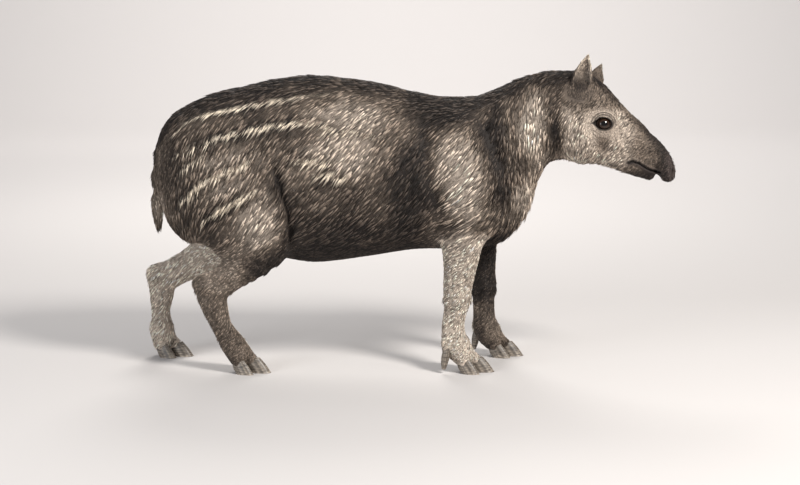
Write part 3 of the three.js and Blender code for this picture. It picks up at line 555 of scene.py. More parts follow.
# %% Ears
EARS = {
    "left": ((508, 55, 791), (544, 66, 886), (0.5, 0.86, 0.1)),
    "right": ((490, -55, 791), (524, -70, 918), (0.36, -0.92, 0.1)),
}
EAR_RADIUS = (20, 24, 28, 26, 17, 5)
EAR_ROLL = (310, 262, 216, 186, 160, 140)
EAR_WALL = (8, 6.5, 5.5, 5, 4.5, 4)


def ear_axes(base, tip, opening):
    axis = unit(np.subtract(tip, base))
    out = unit(np.array(opening) - axis * np.dot(opening, axis))
    return axis, out, np.cross(axis, out)


def ear_parts(p, ear):
    """Height along the ear from 0 to 1, distance from its axis, angle from its back's middle."""
    base, tip, opening = EARS[ear]
    axis, out, side = ear_axes(base, tip, opening)
    v = p - base
    t = v @ axis / np.linalg.norm(np.subtract(tip, base))
    a, b = v @ out, v @ side
    return t, np.hypot(a, b), np.arctan2(b, -a)


def ear_form(t):
    """At a height of the ear: the radius to the middle of its wall, the wall, and half the roll."""
    shares = np.linspace(0, 1, len(EAR_RADIUS))
    radius, wall, roll = (np.interp(t, shares, row) for row in (EAR_RADIUS, EAR_WALL, EAR_ROLL))
    return radius - wall / 2, wall, np.radians(roll) / 2


def ear_field(p, ear):
    base, tip, _ = EARS[ear]
    height = np.linalg.norm(np.subtract(tip, base))
    t, r, angle = ear_parts(p, ear)
    middle, wall, roll = ear_form(t)
    edge = wall * 0.42
    q = np.array([
        np.abs(r - middle) - wall / 2 + edge,
        (np.abs(angle) - roll) * middle + edge,
        np.maximum(t - 1, -0.1 - t) * height + edge,
    ])
    return np.linalg.norm(np.maximum(q, 0), axis=0) + np.minimum(q.max(0), 0) - edge


print("ears:", ", ".join(EARS))


# %% [markdown]
# The eye sits in the side of the head, its lids a thin dome over the ball with an opening between
# two arcs. The rear corner runs out into a dark tear duct, and folds of skin lie above and under
# the lids. Lids cut out of the same field as the head need no seam round the eye.

# %% Eyes and lids
EYE_RADIUS = 23.0
EYE_X, EYE_Z, EYE_SINK = 570.0, 722.0, 16.0
reach = np.arange(20, 120, 0.25)
column = np.column_stack([np.full_like(reach, EYE_X), reach, np.full_like(reach, EYE_Z)])
EYE_Y = reach[np.argmax(bare_head(column) >= 0)] - EYE_SINK
print(f"eye middle {EYE_Y:.2f} mm out from the head's middle")
LID_THICK, LID_MELT = 3.0, 12
# A fold round the eye: depth, radius, how much the radius grows forward, width, above or below,
# where it starts and where it is full.
LID_FOLDS = [
    (2.8, 29, 0.05, 1.9, 1, -4, 10),
    (2.2, 35.5, 0, 2.0, 1, 0, 16),
    (1.2, 42, 0, 2.2, 1, 8, 26),
    (1.5, 30, 0, 2.2, -1, 2, 14),
    (0.9, 37, 0, 2.6, -1, 6, 18),
]
OPEN_FRONT, OPEN_REAR, OPEN_UP, OPEN_DOWN = 21.0, 28.0, 16.5, 15.0


def eye_axes(side):
    facing = unit((0.24, 0.95 * side, 0.2))
    forward = np.array([0.99, 0, -0.02])
    forward = unit(forward - facing * (forward @ facing))
    return facing, forward, np.cross(facing, forward) * -side


def eye_parts(p, side):
    """Distances forward, upward and outward from an eye's middle, on the straight head."""
    facing, forward, upward = eye_axes(side)
    v = p - np.array([EYE_X, EYE_Y * side, EYE_Z])
    return v @ forward, v @ upward, v @ facing


def lid_gap(a, b):
    """How far a place in front of the eye is from the lids' opening: negative in the opening."""
    width = np.where(a > 0, OPEN_FRONT, OPEN_REAR)
    height = np.where(b > 0, OPEN_UP, OPEN_DOWN)
    arc = np.where(a < -14, 0.5 + 0.5 * (a + 28) / 14, 1.0)
    return (np.hypot(a / width, b / (height * np.maximum(arc, 0.3))) - 1) * np.minimum(width, height)


def with_eye(p, d, side):
    """The head's field with the lids and their folds laid round an eye."""
    a, b, f = eye_parts(p, side)
    r = np.sqrt(a * a + b * b + f * f)
    near = (r < 75) & (f > -10)
    e = d[near]
    an, bn, fn = a[near], b[near], f[near]
    gap = lid_gap(an, bn)
    dome = r[near] - EYE_RADIUS - LID_THICK
    e = melt(e, dome, LID_MELT)
    ring = np.hypot(an, bn * 1.12)
    for depth, radius, growth, width, way, start, full in LID_FOLDS:
        e = e + depth * hump(ring - radius, growth * an, width) * smooth(way * bn, start, full)
    e = e - 0.9 * hump(gap, 2.6, 1.8)
    d[near] = carve(e, np.maximum(gap, 6 - fn), 1.6)
    return d


# %% [markdown]
# The upper lip hangs over as a short trunk with the nostrils at its tip. The mouth is a closed line
# under it, pressed into the field as a groove, with a low lip on each side and rings of skin along
# the trunk.

# %% Mouth and nostrils
MOUTH_LINE = [(730, 584), (706, 590), (690, 599), (672, 611), (655, 616), (642, 612)]
NOSTRIL = mass((764, 12, 583), (15, 6, 7), 52)
RING_STEP = 9.5


def off_line(x, z, line):
    """Distance from places in the side view to a line of points, and how far along it from 0 to 1."""
    line = np.array(line, float)
    steps = np.linalg.norm(np.diff(line, axis=0), axis=1)
    before = np.concatenate([[0], np.cumsum(steps)])
    best, where = np.full(len(x), 1e9), np.zeros(len(x))
    for i, (a, b) in enumerate(zip(line, line[1:])):
        run = b - a
        t = np.clip(((x - a[0]) * run[0] + (z - a[1]) * run[1]) / (run @ run), 0, 1)
        d = np.hypot(x - a[0] - run[0] * t, z - a[1] - run[1] * t)
        closer = d < best
        best = np.where(closer, d, best)
        where = np.where(closer, (before[i] + steps[i] * t) / before[-1], where)
    return best, where


def with_muzzle(p, d):
    """The head's field with the mouth's groove, the rings of the trunk and the nostrils."""
    near = p[:, 0] > 610
    q = p[near]
    x, y, z = q.T
    e = d[near]
    off, where = off_line(x, z, MOUTH_LINE)
    fade = smooth(where, 1.02, 0.75)
    e = e + 7.5 * hump(off, 0, 2.6) * fade
    e = e - 1.6 * hump(off, 6, 3) * fade
    along = (x - 640) * 0.62 - (z - 680) * 0.78
    rings = smooth(along, -5, 40) * smooth(z, 585, 612)
    wave = along * 2 * math.pi / RING_STEP + 0.8 * np.sin(y / 9) + 0.6 * np.sin(z / 17)
    e = e + 0.8 * rings * np.cos(wave)
    d[near] = carve(e, NOSTRIL(both_sides(q)), 3)
    return d


print("the mouth runs from", MOUTH_LINE[0], "to", MOUTH_LINE[-1])


# %% [markdown]
# ## Skin folds
# Skin is tight over the barrel and slack where limbs move. Each fold is a soft groove along a line
# of the side view, on both sides: the flank's fold ahead of the thigh, the shoulder's two edges,
# the elbow, the throat. Folds could be bumps in a material, but then their edges would not show and
# light would not sink into them.

# %% Folds of the side: a line of x, z, its width and its depth
FOLD_FROM, FOLD_FULL = 30, 80  # how far out from the middle a fold starts and is full
FOLDS = {
    "flank": ([(-392, 616), (-375, 568), (-364, 522), (-351, 475), (-344, 431), (-355, 368)], 10, 15),
    "second flank": ([(-352, 545), (-332, 495), (-318, 440)], 12, 4),
    "shoulder front": ([(186, 752), (218, 692), (255, 582), (267, 545), (244, 491), (218, 452)],
                       24, 9),
    "shoulder rear": ([(28, 735), (35, 686), (41, 586), (69, 513), (79, 435)], 26, 7),
    "elbow": ([(150, 452), (112, 436), (84, 446)], 11, 5),
    "upper arm": ([(246, 560), (222, 510), (186, 478)], 12, 3),
    "neck": ([(352, 790), (345, 700), (356, 610)], 16, 4),
    "nape": ([(388, 800), (380, 700), (386, 625)], 12, 3),
    "jaw": ([(430, 660), (452, 636), (480, 622), (515, 618)], 8, 3),
}


def fold_share(x, z):
    """How deep each place of the side view lies in a fold, in millimetres."""
    deep = np.zeros(len(x))
    for line, width, depth in FOLDS.values():
        low, high = np.min(line, axis=0) - 3 * width, np.max(line, axis=0) + 3 * width
        near = (x > low[0]) & (x < high[0]) & (z > low[1]) & (z < high[1])
        off, where = off_line(x[near], z[near], line)
        fade = smooth(where, -0.05, 0.2) * smooth(where, 1.05, 0.8)
        deep[near] += depth * hump(off, 0, width) * fade
    return deep


def on_the_side(y):
    return smooth(np.abs(y), FOLD_FROM, FOLD_FULL)


print(len(FOLDS), "folds a side")


# %% [markdown]
# Under the wrist and the hock a tendon runs behind the bone, with a groove between them, and the
# skin wrinkles across the joints.

# %% Grooves of the legs
WRIST_Z, HOCK_Z, FETLOCK_Z = 214, 236, 101
WRINKLE_STEP = 8.5


def leg_grooves(p, d):
    """The field with the legs' grooves and wrinkles cut in."""
    for leg, (side, stations) in LEGS.items():
        near = (p[:, 2] < 335) & (p[:, 2] > 40) & (p[:, 1] * side > 40)
        near &= np.abs(p[:, 0] - leg_fields[leg][3]) < 240
        x, y, z = p[near].T
        rows = np.array(stations)[::-1]
        share = (x - np.interp(z, rows[:, 2], rows[:, 0])) / np.interp(z, rows[:, 2], rows[:, 3])
        within = smooth(np.abs(share), 1.6, 1.2)
        shin = smooth(z, 104, 130) * smooth(z, 318, 270)
        groove = 2.8 * hump(share, -0.42, 0.15) * shin
        groove += 1.5 * hump(share, 0.35, 0.17) * smooth(z, 150, 180) * smooth(z, 330, 260)
        joint = WRIST_Z if leg.startswith("fore") else HOCK_Z
        wrinkled = hump(z, joint, 17) + 0.8 * hump(z, FETLOCK_Z, 15)
        wave = z * 2 * math.pi / WRINKLE_STEP + 1.4 * np.sin(x / 11) + 0.9 * np.sin(y / 7)
        wrinkles = 0.8 * wrinkled * np.cos(wave)
        d[near] += (groove + wrinkles) * within
    return d


def creased(p, d):
    """Takes the side folds and the wrinkles of the breast out of the skin."""
    x, y, z = p.T
    d = d + fold_share(x, z) * on_the_side(y)
    breast = smooth(x, 230, 290) * smooth(x, 420, 380) * smooth(z, 400, 440) * smooth(z, 590, 540)
    return d + 1.8 * breast * np.cos(z * 2 * math.pi / 31 + 0.8 * np.sin(y / 23))


print(f"the flank's fold is {fold_share(np.array([-351.0]), np.array([475.0]))[0]:.1f} mm deep")

# %% [markdown]
# ## One skin over the whole animal
# The skin is the surface where the field crosses zero, drawn in a little so that the hair has room
# to lie on it. One closed sheet from snout to hooves has no seams, where pieces joined side by side
# would show them. It is found on a lattice of boxes, one corner in each box that the surface
# crosses, and then cut finer where the form is small.

# %% The whole field
COAT_DEPTH = 2.4
TAIL_CLEFT, TAIL_MELT, EAR_MELT = 31.0, 9, 7


def inset(p):
    """The coat's depth: thin on the face, the feet and the ears."""
    face = smooth(p[:, 0], 430, 600)
    foot = smooth(p[:, 2], 150, 70)
    return COAT_DEPTH * (1 - 0.6 * np.maximum(face, foot))


def body_skin(p):
    d = leg_grooves(p, creased(p, torso(p)))
    cleft = np.hypot(p[:, 0] + 755, p[:, 1]) - TAIL_CLEFT
    cleft = np.maximum(cleft, p[:, 2] - 507)
    d = carve(d, cleft, 16)
    return melt(d + inset(p), tail(p) + 1.2, TAIL_MELT)


def head_skin(p):
    q = straightened(p)
    d = creased(q, bare_head(q))
    for side in (-1, 1):
        d = with_eye(q, d, side)
    d = with_muzzle(q, d) + inset(q)
    for ear in EARS:
        near = (q[:, 2] > 740) & (q[:, 0] > 430) & (q[:, 0] < 600)
        d[near] = melt(d[near], ear_field(q[near], ear) + 0.3, EAR_MELT)
    return d


def skin_field(p):
    """How far places lie outside the skin, in millimetres; negative inside."""
    p = np.asarray(p, float)
    d = np.empty(len(p))
    ahead = p[:, 0] > TURN_FROM
    if ahead.any():
        d[ahead] = head_skin(p[ahead])
    if not ahead.all():
        d[~ahead] = body_skin(p[~ahead])
    return d


print(f"above the back the field is {skin_field([[-300.0, 0, 900]])[0]:.0f}")

# %% A lattice that narrows round the head
ROWS_ACROSS, ROWS_UP = 84, 130
HALF_BODY, HALF_HEAD = 240, 118
BODY_CELL, HEAD_CELL = np.array([13.2, 5.8, 6.8]), np.array([3.5, 2.9, 2.9])
places_x = np.concatenate([
    np.arange(-850, TURN_FROM, BODY_CELL[0]),
    TURN_FROM + np.cumsum(np.linspace(10, HEAD_CELL[0], 18)) - 10,
    np.arange(424, 815, HEAD_CELL[0]),
])


def towards_head(x):
    """0 on the body, 1 where the lattice has closed in on the head."""
    return np.clip((x - 345) / 85, 0, 1)


def lattice(i, j, k):
    """The place of a lattice point, for whole or broken numbers i, j, k."""
    x = np.interp(i, np.arange(len(places_x)), places_x)
    close = towards_head(x)
    half = HALF_BODY + (HALF_HEAD - HALF_BODY) * np.clip((x - 300) / 130, 0, 1)
    middle = -(x - TURN_PIVOT[0]) * math.tan(-HEAD_TURN) * smooth(x, TURN_FROM, TURN_TO)
    low, high = -6 + 551 * close, 880 + 48 * close
    y = middle + half * (2 * j / (ROWS_ACROSS - 1) - 1)
    z = low + (high - low) * k / (ROWS_UP - 1)
    return np.stack([x, y, z], -1)


shape = (len(places_x), ROWS_ACROSS, ROWS_UP)
print("lattice of", " x ".join(str(n) for n in shape), "points")

# %% [markdown]
# Only the boxes near the skin matter. So the field is worked out at every third point first, and in
# full only in the blocks that may hold the surface, which takes a fifth of the time.

# %% The field on the lattice
STEP = 3
CORNERS = [(a, b, c) for a in (0, 1) for b in (0, 1) for c in (0, 1)]


def shifted(grid, a, b, c):
    """A grid without its last layer each way, moved on by a, b and c."""
    n = grid.shape
    return grid[a:n[0] - 1 + a, b:n[1] - 1 + b, c:n[2] - 1 + c]


def spread(grid):
    """The numbers of a coarse grid on the whole lattice."""
    for axis in range(3):
        grid = np.repeat(grid, STEP, axis)
    return grid[:shape[0], :shape[1], :shape[2]].copy()


coarse = np.meshgrid(*[np.arange(0, n + STEP - 1, STEP) for n in shape], indexing="ij")
coarse = [np.minimum(c, n - 1) for c, n in zip(coarse, shape)]
coarse_places = lattice(*[c.ravel().astype(float) for c in coarse])
rough = skin_field(coarse_places).reshape(coarse[0].shape)
cell_size = BODY_CELL + (HEAD_CELL - BODY_CELL) * towards_head(coarse_places[:, 0:1])
span = np.linalg.norm(cell_size * STEP, axis=1).reshape(rough.shape)
close_by = np.abs(rough) < span * 1.25
fine = spread(np.logical_or.reduce([shifted(close_by, *at) for at in CORNERS]))
wanted = np.zeros(shape, bool)
for a, b, c in CORNERS:
    part = fine[:shape[0] - a, :shape[1] - b, :shape[2] - c]
    wanted[a:a + part.shape[0], b:b + part.shape[1], c:c + part.shape[2]] |= part
values = spread(rough)
values[wanted] = skin_field(lattice(*np.argwhere(wanted).T.astype(float)))
print(f"{wanted.sum()} of {values.size} points worked out")


# %% One corner in each box that the surface crosses
def nets(values):
    """The surface's corners in lattice numbers, and its four-sided faces."""
    inside = values < 0
    n = values.shape
    count = sum(shifted(inside, *at).astype(np.int8) for at in CORNERS)
    cells = np.argwhere((count > 0) & (count < 8))
    total, crossings = np.zeros((len(cells), 3)), np.zeros(len(cells))
    for a in CORNERS:
        for axis in range(3):
            if a[axis]:
                continue
            b = tuple(1 if m == axis else a[m] for m in range(3))
            va, vb = (values[tuple((cells + c).T)] for c in (a, b))
            cross = (va < 0) != (vb < 0)
            t = np.where(cross, va / np.where(cross, va - vb, 1), 0)
            place = np.array(a) + np.eye(3)[axis] * t[:, None]
            total += place * cross[:, None]
            crossings += cross
    spots = cells + total / crossings[:, None]
    number = np.full(np.array(n) - 1, -1)
    number[tuple(cells.T)] = np.arange(len(cells))
    quads = []
    for axis in range(3):
        u, v = (axis + 1) % 3, (axis + 2) % 3
        first = np.take(inside, range(n[axis] - 1), axis)
        second = np.take(inside, range(1, n[axis]), axis)
        edges = np.argwhere(first != second)
        edges = edges[(edges[:, u] > 0) & (edges[:, v] > 0)]
        edges = edges[(edges[:, u] < n[u] - 1) & (edges[:, v] < n[v] - 1)]
        out = first[tuple(edges.T)]
        ring = []
        for du, dv in ((1, 1), (0, 1), (0, 0), (1, 0)):
            cell = edges.copy()
            cell[:, u] -= du
            cell[:, v] -= dv
            ring.append(number[tuple(cell.T)])
        ring = np.column_stack(ring)
        ring[~out] = ring[~out][:, ::-1]
        quads.append(ring)
    return spots, np.vstack(quads)


NUDGE = 0.4


def gradient(p):
    """Which way, and how fast, the field grows at each place."""
    steps = np.eye(3) * NUDGE
    return np.column_stack([(skin_field(p + s) - skin_field(p - s)) / (2 * NUDGE) for s in steps])


def settled(p, limit, rounds=2):
    """Points slid along the field's slope onto the surface, by no more than limit each round."""
    for _ in range(rounds):
        g = gradient(p)
        step = g * (skin_field(p) / np.maximum((g * g).sum(1), 0.1))[:, None]
        far = np.linalg.norm(step, axis=1)
        p = p - step * np.minimum(1, limit / np.maximum(far, 1e-9))[:, None]
    return p


spots, quads = nets(values)
points = settled(lattice(*spots.T), 2.0)
across = np.linalg.norm(points[quads[:, 0]] - points[quads[:, 2]], axis=1)
other = np.linalg.norm(points[quads[:, 1]] - points[quads[:, 3]], axis=1)
short = (across <= other)[:, None, None]
cut_here, cut_there = quads[:, [[0, 1, 2], [0, 2, 3]]], quads[:, [[0, 1, 3], [1, 2, 3]]]
faces = np.where(short, cut_here, cut_there).reshape(-1, 3)
print(f"first net: {len(points)} corners, {len(faces)} triangles")

# %% [markdown]
# Small forms need small triangles. Each edge longer than its place allows is cut in the middle, the
# new points slide onto the surface, and every triangle is divided by the edges that were cut. A
# finer lattice would do it too, with ten times as many triangles.

# %% The longest edges
FOOT_TOP, SHIN_TOP = 125, 330


def allowed(p):
    """The longest edge that a place on the skin should have."""
    q = straightened(p)
    size = np.full(len(p), 14.0)
    size[fold_share(p[:, 0], p[:, 2]) * on_the_side(p[:, 1]) > 1.2] = 7.0
    size[p[:, 2] < SHIN_TOP] = 7.0
    size[p[:, 2] < FOOT_TOP] = 5.0
    face = q[:, 0] > 440
    size[face] = 5.0
    size[q[:, 0] > 625] = 3.4
    off, _ = off_line(q[:, 0], q[:, 2], MOUTH_LINE)
    size[face & (off < 9)] = 2.2
    for side in (-1, 1):
        a, b, f = eye_parts(q, side)
        ring = np.hypot(a, b)
        size[face & (f > 0) & (ring < 46)] = 3.0
        size[face & (f > 0) & (np.abs(lid_gap(a, b)) < 6)] = 1.6
    return size


print("longest edge on the flank:", allowed(np.array([[-200.0, 210, 600]]))[0], "mm")

# %% Cut finer where the form is small
# The parts of a triangle by how many of its edges are cut: 0, 1, 2 are its corners, 3, 4, 5 the cuts.
PARTS = {
    1: [(0, 3, 2), (3, 1, 2)],
    2: [(4, 2, 5), (0, 1, 4), (0, 4, 5)],
    3: [(0, 3, 5), (3, 1, 4), (5, 4, 2), (3, 4, 5)],
}


def refined(points, faces, rounds=3):
    """The net with its long edges cut."""
    for _ in range(rounds):
        edges = np.sort(faces[:, [[0, 1], [1, 2], [2, 0]]].reshape(-1, 2), axis=1)
        unique, back = np.unique(edges, axis=0, return_inverse=True)
        back = back.reshape(-1, 3)
        a, b = points[unique[:, 0]], points[unique[:, 1]]
        long = np.linalg.norm(a - b, axis=1) > 1.4 * allowed((a + b) / 2)
        if not long.any():
            break
        middle = np.full(len(unique), -1)
        middle[long] = len(points) + np.arange(long.sum())
        fresh = settled((a[long] + b[long]) / 2, 1.5, 2)
        points = np.vstack([points, fresh])
        m = middle[back]
        cuts = (m >= 0).sum(1)
        made = [faces[cuts == 0]]
        for want, parts in PARTS.items():
            f, n = faces[cuts == want], m[cuts == want]
            first = np.argmin(n >= 0, 1) if want == 2 else np.argmax(n >= 0, 1)
            order = (first[:, None] + np.arange(3)) % 3
            six = np.hstack([np.take_along_axis(f, order, 1), np.take_along_axis(n, order, 1)])
            made += [six[:, part] for part in parts]
        faces = np.vstack(made)
    return points, faces


def evened(points, faces, rounds=2):
    """Corners drawn half way to their neighbours' middle, and back onto the surface."""
    edges = np.unique(np.sort(faces[:, [[0, 1], [1, 2], [2, 0]]].reshape(-1, 2), axis=1), axis=0)
    both = np.vstack([edges, edges[:, ::-1]])
    count = np.bincount(both[:, 0], minlength=len(points))[:, None]
    for _ in range(rounds):
        total = np.column_stack([np.bincount(both[:, 0], points[both[:, 1], n], len(points))
                                 for n in range(3)])
        points = settled(points + 0.5 * (total / np.maximum(count, 1) - points), 1.0, 1)
    return points


points, faces = refined(points, faces)
points = evened(points, faces)
normals = gradient(points)
normals /= np.linalg.norm(normals, axis=1)[:, None]
print(f"skin: {len(points)} corners, {len(faces)} triangles")


# %% [markdown]
# ## Markings
# The last stripes of the calf's coat still show on the rump and the flank, cream, broken and thin.
# They run along the body. Each is a line of places in the side view, found on the skin by walking
# in from outside, with a half width and a strength at each place. The skin and every hair ask the
# same function for their colour, so a painted picture isn't needed and both agree.

# %% Stripes: x, z, half width, strength
STRIPES = [
    [(-676, 700, 4, 0.3), (-637, 737, 6, 0.8), (-562, 759, 8, 0.9), (-451, 782, 9, 0.8),
     (-322, 802, 10, 0.35), (-239, 812, 8, 0.1)],
    [(-680, 640, 4, 0.3), (-631, 662, 5, 0.7), (-572, 686, 7, 0.85), (-512, 700, 8, 0.95),
     (-428, 720, 8, 0.95), (-325, 734, 8, 0.85), (-262, 731, 7, 0.8), (-236, 716, 6, 0.8),
     (-160, 706, 5, 0.8), (-89, 690, 3, 0.5)],
    [(-672, 596, 3, 0.4), (-624, 623, 6, 0.8), (-588, 646, 4, 0.3)],
    [(-668, 503, 6, 0.7), (-604, 559, 10, 1), (-534, 595, 11, 1), (-460, 626, 8, 0.6)],
    [(-600, 452, 6, 0.8), (-559, 480, 9, 1), (-475, 527, 10, 1), (-440, 546, 6, 0.5)],
    [(-343, 627, 5, 0.8), (-287, 628, 9, 0.95), (-225, 625, 5, 0.6)],
    [(-280, 589, 5, 0.5), (-230, 589, 10, 0.85), (-180, 586, 6, 0.5)],
]


def on_flank(x, z):
    """The place of the skin at x, z on the left side."""
    out = np.arange(10, 260, 1.0)
    line = np.column_stack([np.full_like(out, x), out, np.full_like(out, z)])
    return np.array([x, out[np.nonzero(skin_field(line) < 0)[0].max()], z])


stripe_lines = [curve([(*on_flank(x, z), wide, strong) for x, z, wide, strong in stripe], 4)
                for stripe in STRIPES]
print("stripes:", len(stripe_lines), "a side")


# %% Patchiness
def value_noise(p, size, seed):
    """Smooth noise from 0 to 1, its blobs about size across."""
    q = np.asarray(p, float) / size + 1000 + seed * 17.3
    cell = np.floor(q).astype(np.int64)
    t = q - cell
    t = t * t * (3 - 2 * t)
    total = 0
    for a, b, c in CORNERS:
        # Three large primes and some shuffling of bits turn a cell's numbers into a chance one.
        n = (cell[:, 0] + a) * 73856093 ^ (cell[:, 1] + b) * 19349663 ^ (cell[:, 2] + c) * 83492791
        n = (n ^ (n >> 13)) * 1274126177 & 0xFFFFFFFF
        value = ((n ^ (n >> 16)) & 0xFFFF) / 65535
        weight = np.abs(1 - a - t[:, 0]) * np.abs(1 - b - t[:, 1]) * np.abs(1 - c - t[:, 2])
        total = total + value * weight
    return total


print(f"noise at three places: {value_noise(points[:3], 55, 1).round(2)}")

# %% Colours and fields of the coat
BLACK = np.array([0.022, 0.016, 0.013])
DARK = np.array([0.055, 0.041, 0.032])
BROWN = np.array([0.155, 0.121, 0.094])
PALE = np.array([0.42, 0.352, 0.29])
CREAM = np.array([0.72, 0.62, 0.49])
LIP = np.array([0.075, 0.056, 0.050])

# Painted light and shade on the coat: lighter fields of painted light where the round forms and the
# tail catch the light, darker fields of painted shade in hollows, under the body and on the withers
# and rump. Each field has x, z of the middle, how far it reaches along and up, and its strength. A
# field below 0 is darker. They lie on both sides.
LIT_AND_SHADED_FIELDS = {
    "shoulder": (128, 610, 92, 118, 0.85),
    "upper arm": (172, 500, 80, 80, 0.78),
    "neck": (354, 720, 54, 120, 1.25),
    "breast": (322, 520, 48, 85, 0.85),
    "haunch": (-515, 585, 120, 95, 0.68),
    "thigh": (-425, 455, 88, 105, 0.85),
    "upper flank": (-185, 745, 165, 75, 0.7),
    "middle flank": (-210, 640, 150, 75, 0.75),
    "tail": (-740, 480, 30, 66, 0.9),
    "under the eye": (EYE_X + 5, EYE_Z - 58, 26, 40, -0.5),
    "behind the jaw": (EYE_X - 138, EYE_Z - 30, 22, 130, -0.4),
    "rump": (-675, 690, 46, 120, -0.08),
    "behind the shoulder": (-5, 520, 62, 150, -0.8),
    "low flank": (-190, 425, 230, 80, -0.48),
    "neck root": (240, 700, 34, 110, -0.6),
    "withers": (70, 760, 120, 45, -0.7),
}


def blended(colour, other, share):
    return colour + (other - colour) * share[:, None]


print(len(LIT_AND_SHADED_FIELDS), "fields, from", BLACK, "to", PALE)

# %% [markdown]
# Each place's colour comes in three steps: how light the coat is there, with painted light on the
# round forms and painted shade in the hollows and under the body; the marks of the face, the ears and
# round the eyes, with painted shade in the ears' hollows, the folds over the eyes and the mouth's
# groove; and the stripes on top. It could be painted by hand, but a function gives skin and hair the
# same colour at the same place.


# %% How much stripe
def stripe_share(p, wider=1.0):
    """How much of the calf's pale stripe is left at each place, with stripes so much wider."""
    q = both_sides(p)
    share = np.zeros(len(p))
    near = (q[:, 0] < -60) & (q[:, 2] > 400)
    q = q[near]
    best = np.zeros(len(q))
    wobble = (value_noise(q, 30, 3) - 0.5) * 9
    for line in stripe_lines:
        for a, b in zip(line, line[1:]):
            run = b[:3] - a[:3]
            t = np.clip((q - a[:3]) @ run / (run @ run), 0, 1)
            off = np.linalg.norm(q - a[:3] - run * t[:, None], axis=1) + wobble * 0.5
            wide = a[3] + (b[3] - a[3]) * t
            strong = a[4] + (b[4] - a[4]) * t
            best = np.maximum(best, strong * smooth(off, wide * 1.1 * wider, wide * 0.4 * wider))
    ragged = 0.45 + 1.0 * value_noise(q, 9, 5) if wider == 1 else 1
    share[near] = np.clip(best * ragged, 0, 1)
    return share


def back_line(x):
    """The height of the back's outline at each x."""
    return np.interp(x, [rib[0] for rib in RIBS], [rib[1] for rib in RIBS])


print(f"{(stripe_share(points) > 0.5).sum()} of the skin's {len(points)} corners are striped")


# %% How light the coat is, with its painted light and shade
def coat_tone_and_painted_light(p, q, stripes):
    """From 0, black, to 1.2, the palest, with painted light and shade, at places and the same places
    of the straight animal.
    """
    x, y, z = q.T
    patchy = (value_noise(p, 55, 1) - 0.5) * 0.34 + (value_noise(p, 16, 2) - 0.5) * 0.2
    light = np.full(len(p), 0.36) + patchy
    # Painted light on the round forms and painted shade in the hollows and under the body, from the
    # table of fields.
    for cx, cz, far_along, far_up, strength in LIT_AND_SHADED_FIELDS.values():
        off = np.hypot((x - cx) / far_along, (z - cz) / far_up)
        light += 0.62 * strength * smooth(off, 1.25, 0.25)
    light -= 0.34 * smooth(z, back_line(x) - 52, back_line(x) - 8) * smooth(x, 500, 450)
    # Painted shade on the low flank and the belly.
    light -= 0.45 * smooth(z, 400, 340) * smooth(x, 100, 40) * smooth(x, -500, -420) * (z > 250)
    # Painted light on the outer side of the forelegs and the inner side of the hind legs, and painted
    # shade on the inner side of the forelegs.
    outer = smooth(np.abs(y), 102, 122)
    foreleg = smooth(z, 440, 380) * smooth(x, 70, 95) * (x < 420)
    light += foreleg * (0.88 * outer - 0.34 * (1 - outer) * smooth(z, 120, 260))
    hind_leg = smooth(z, 400, 340) * smooth(x, -380, -430)
    light += hind_leg * (1.15 - 1.0 * outer)
    # Painted shade along the middle of the head, on top and underneath.
    light -= 0.35 * smooth(np.abs(y), 44, 12) * smooth(x, 420, 470)
    cheek = smooth(x, 430, 480) * smooth(x, 680, 610) * smooth(z, 800, 740)
    throat = smooth(x, 330, 400) * smooth(z, 690, 620) * smooth(x, 640, 560)
    light += 0.52 * cheek + 0.25 * throat
    light += 0.12 * smooth(x, 610, 650) * smooth(x, 735, 700) - 0.3 * smooth(x, 722, 758)
    lip = z - np.interp(x, *np.array(MOUTH_LINE[::-1]).T)
    light -= 0.24 * smooth(lip, 2, -7) * smooth(x, 615, 655)
    light -= 0.15 * smooth(z, 70, 35) * (x < 420)
    # Painted shade in the skin's folds.
    light -= 0.04 * fold_share(x, z) * on_the_side(y)
    light -= 0.4 * np.clip(stripe_share(p, 3.2) - stripes, 0, 1)
    return np.clip(light, 0, 1.2)


# %% Mouth, ears and eyes
def mouth_marks(q, colour):
    x, _, z = q.T
    off, _ = off_line(x, z, MOUTH_LINE)
    muzzle = smooth(x, 736, 765) + smooth(off, 11, 3) * (x > 620)
    colour = blended(colour, LIP * 0.7, np.clip(muzzle, 0, 0.85))
    # Painted shade: the black line in the mouth's groove, over the lips' own dark colour.
    return blended(colour, BLACK * 0.5, 0.95 * smooth(off, 7, 3) * (x > 630))


def ear_marks(q, colour, ear):
    """Painted shade at the root and low in the hollow, which turns pale higher up, and a pale rim."""
    t, r, angle = ear_parts(q, ear)
    middle, _, roll = ear_form(t)
    on = smooth(t, 0.05, 0.3) * (t < 1.2) * (r < 36)
    inside = on * smooth(r - middle, 1.5, -1.5)
    root = smooth(t, -0.12, 0.05) * smooth(t, 0.3, 0.12) * smooth(r, 42, 30)
    rim = smooth((np.abs(angle) - roll) * middle, -6, -1) * smooth(t, 0.55, 0.9)
    colour = blended(colour, PALE, inside * smooth(t, 0.3, 0.6) * 0.6)
    # Painted shade low in the ear's hollow.
    colour = blended(colour, BLACK, inside * smooth(t, 0.62, 0.3) * 0.92)
    # Painted shade round the ear's root.
    colour = blended(colour, BLACK, root * 0.5)
    return blended(colour, CREAM, on * np.maximum(rim, smooth(t, 0.92, 1.0)) * 0.5)


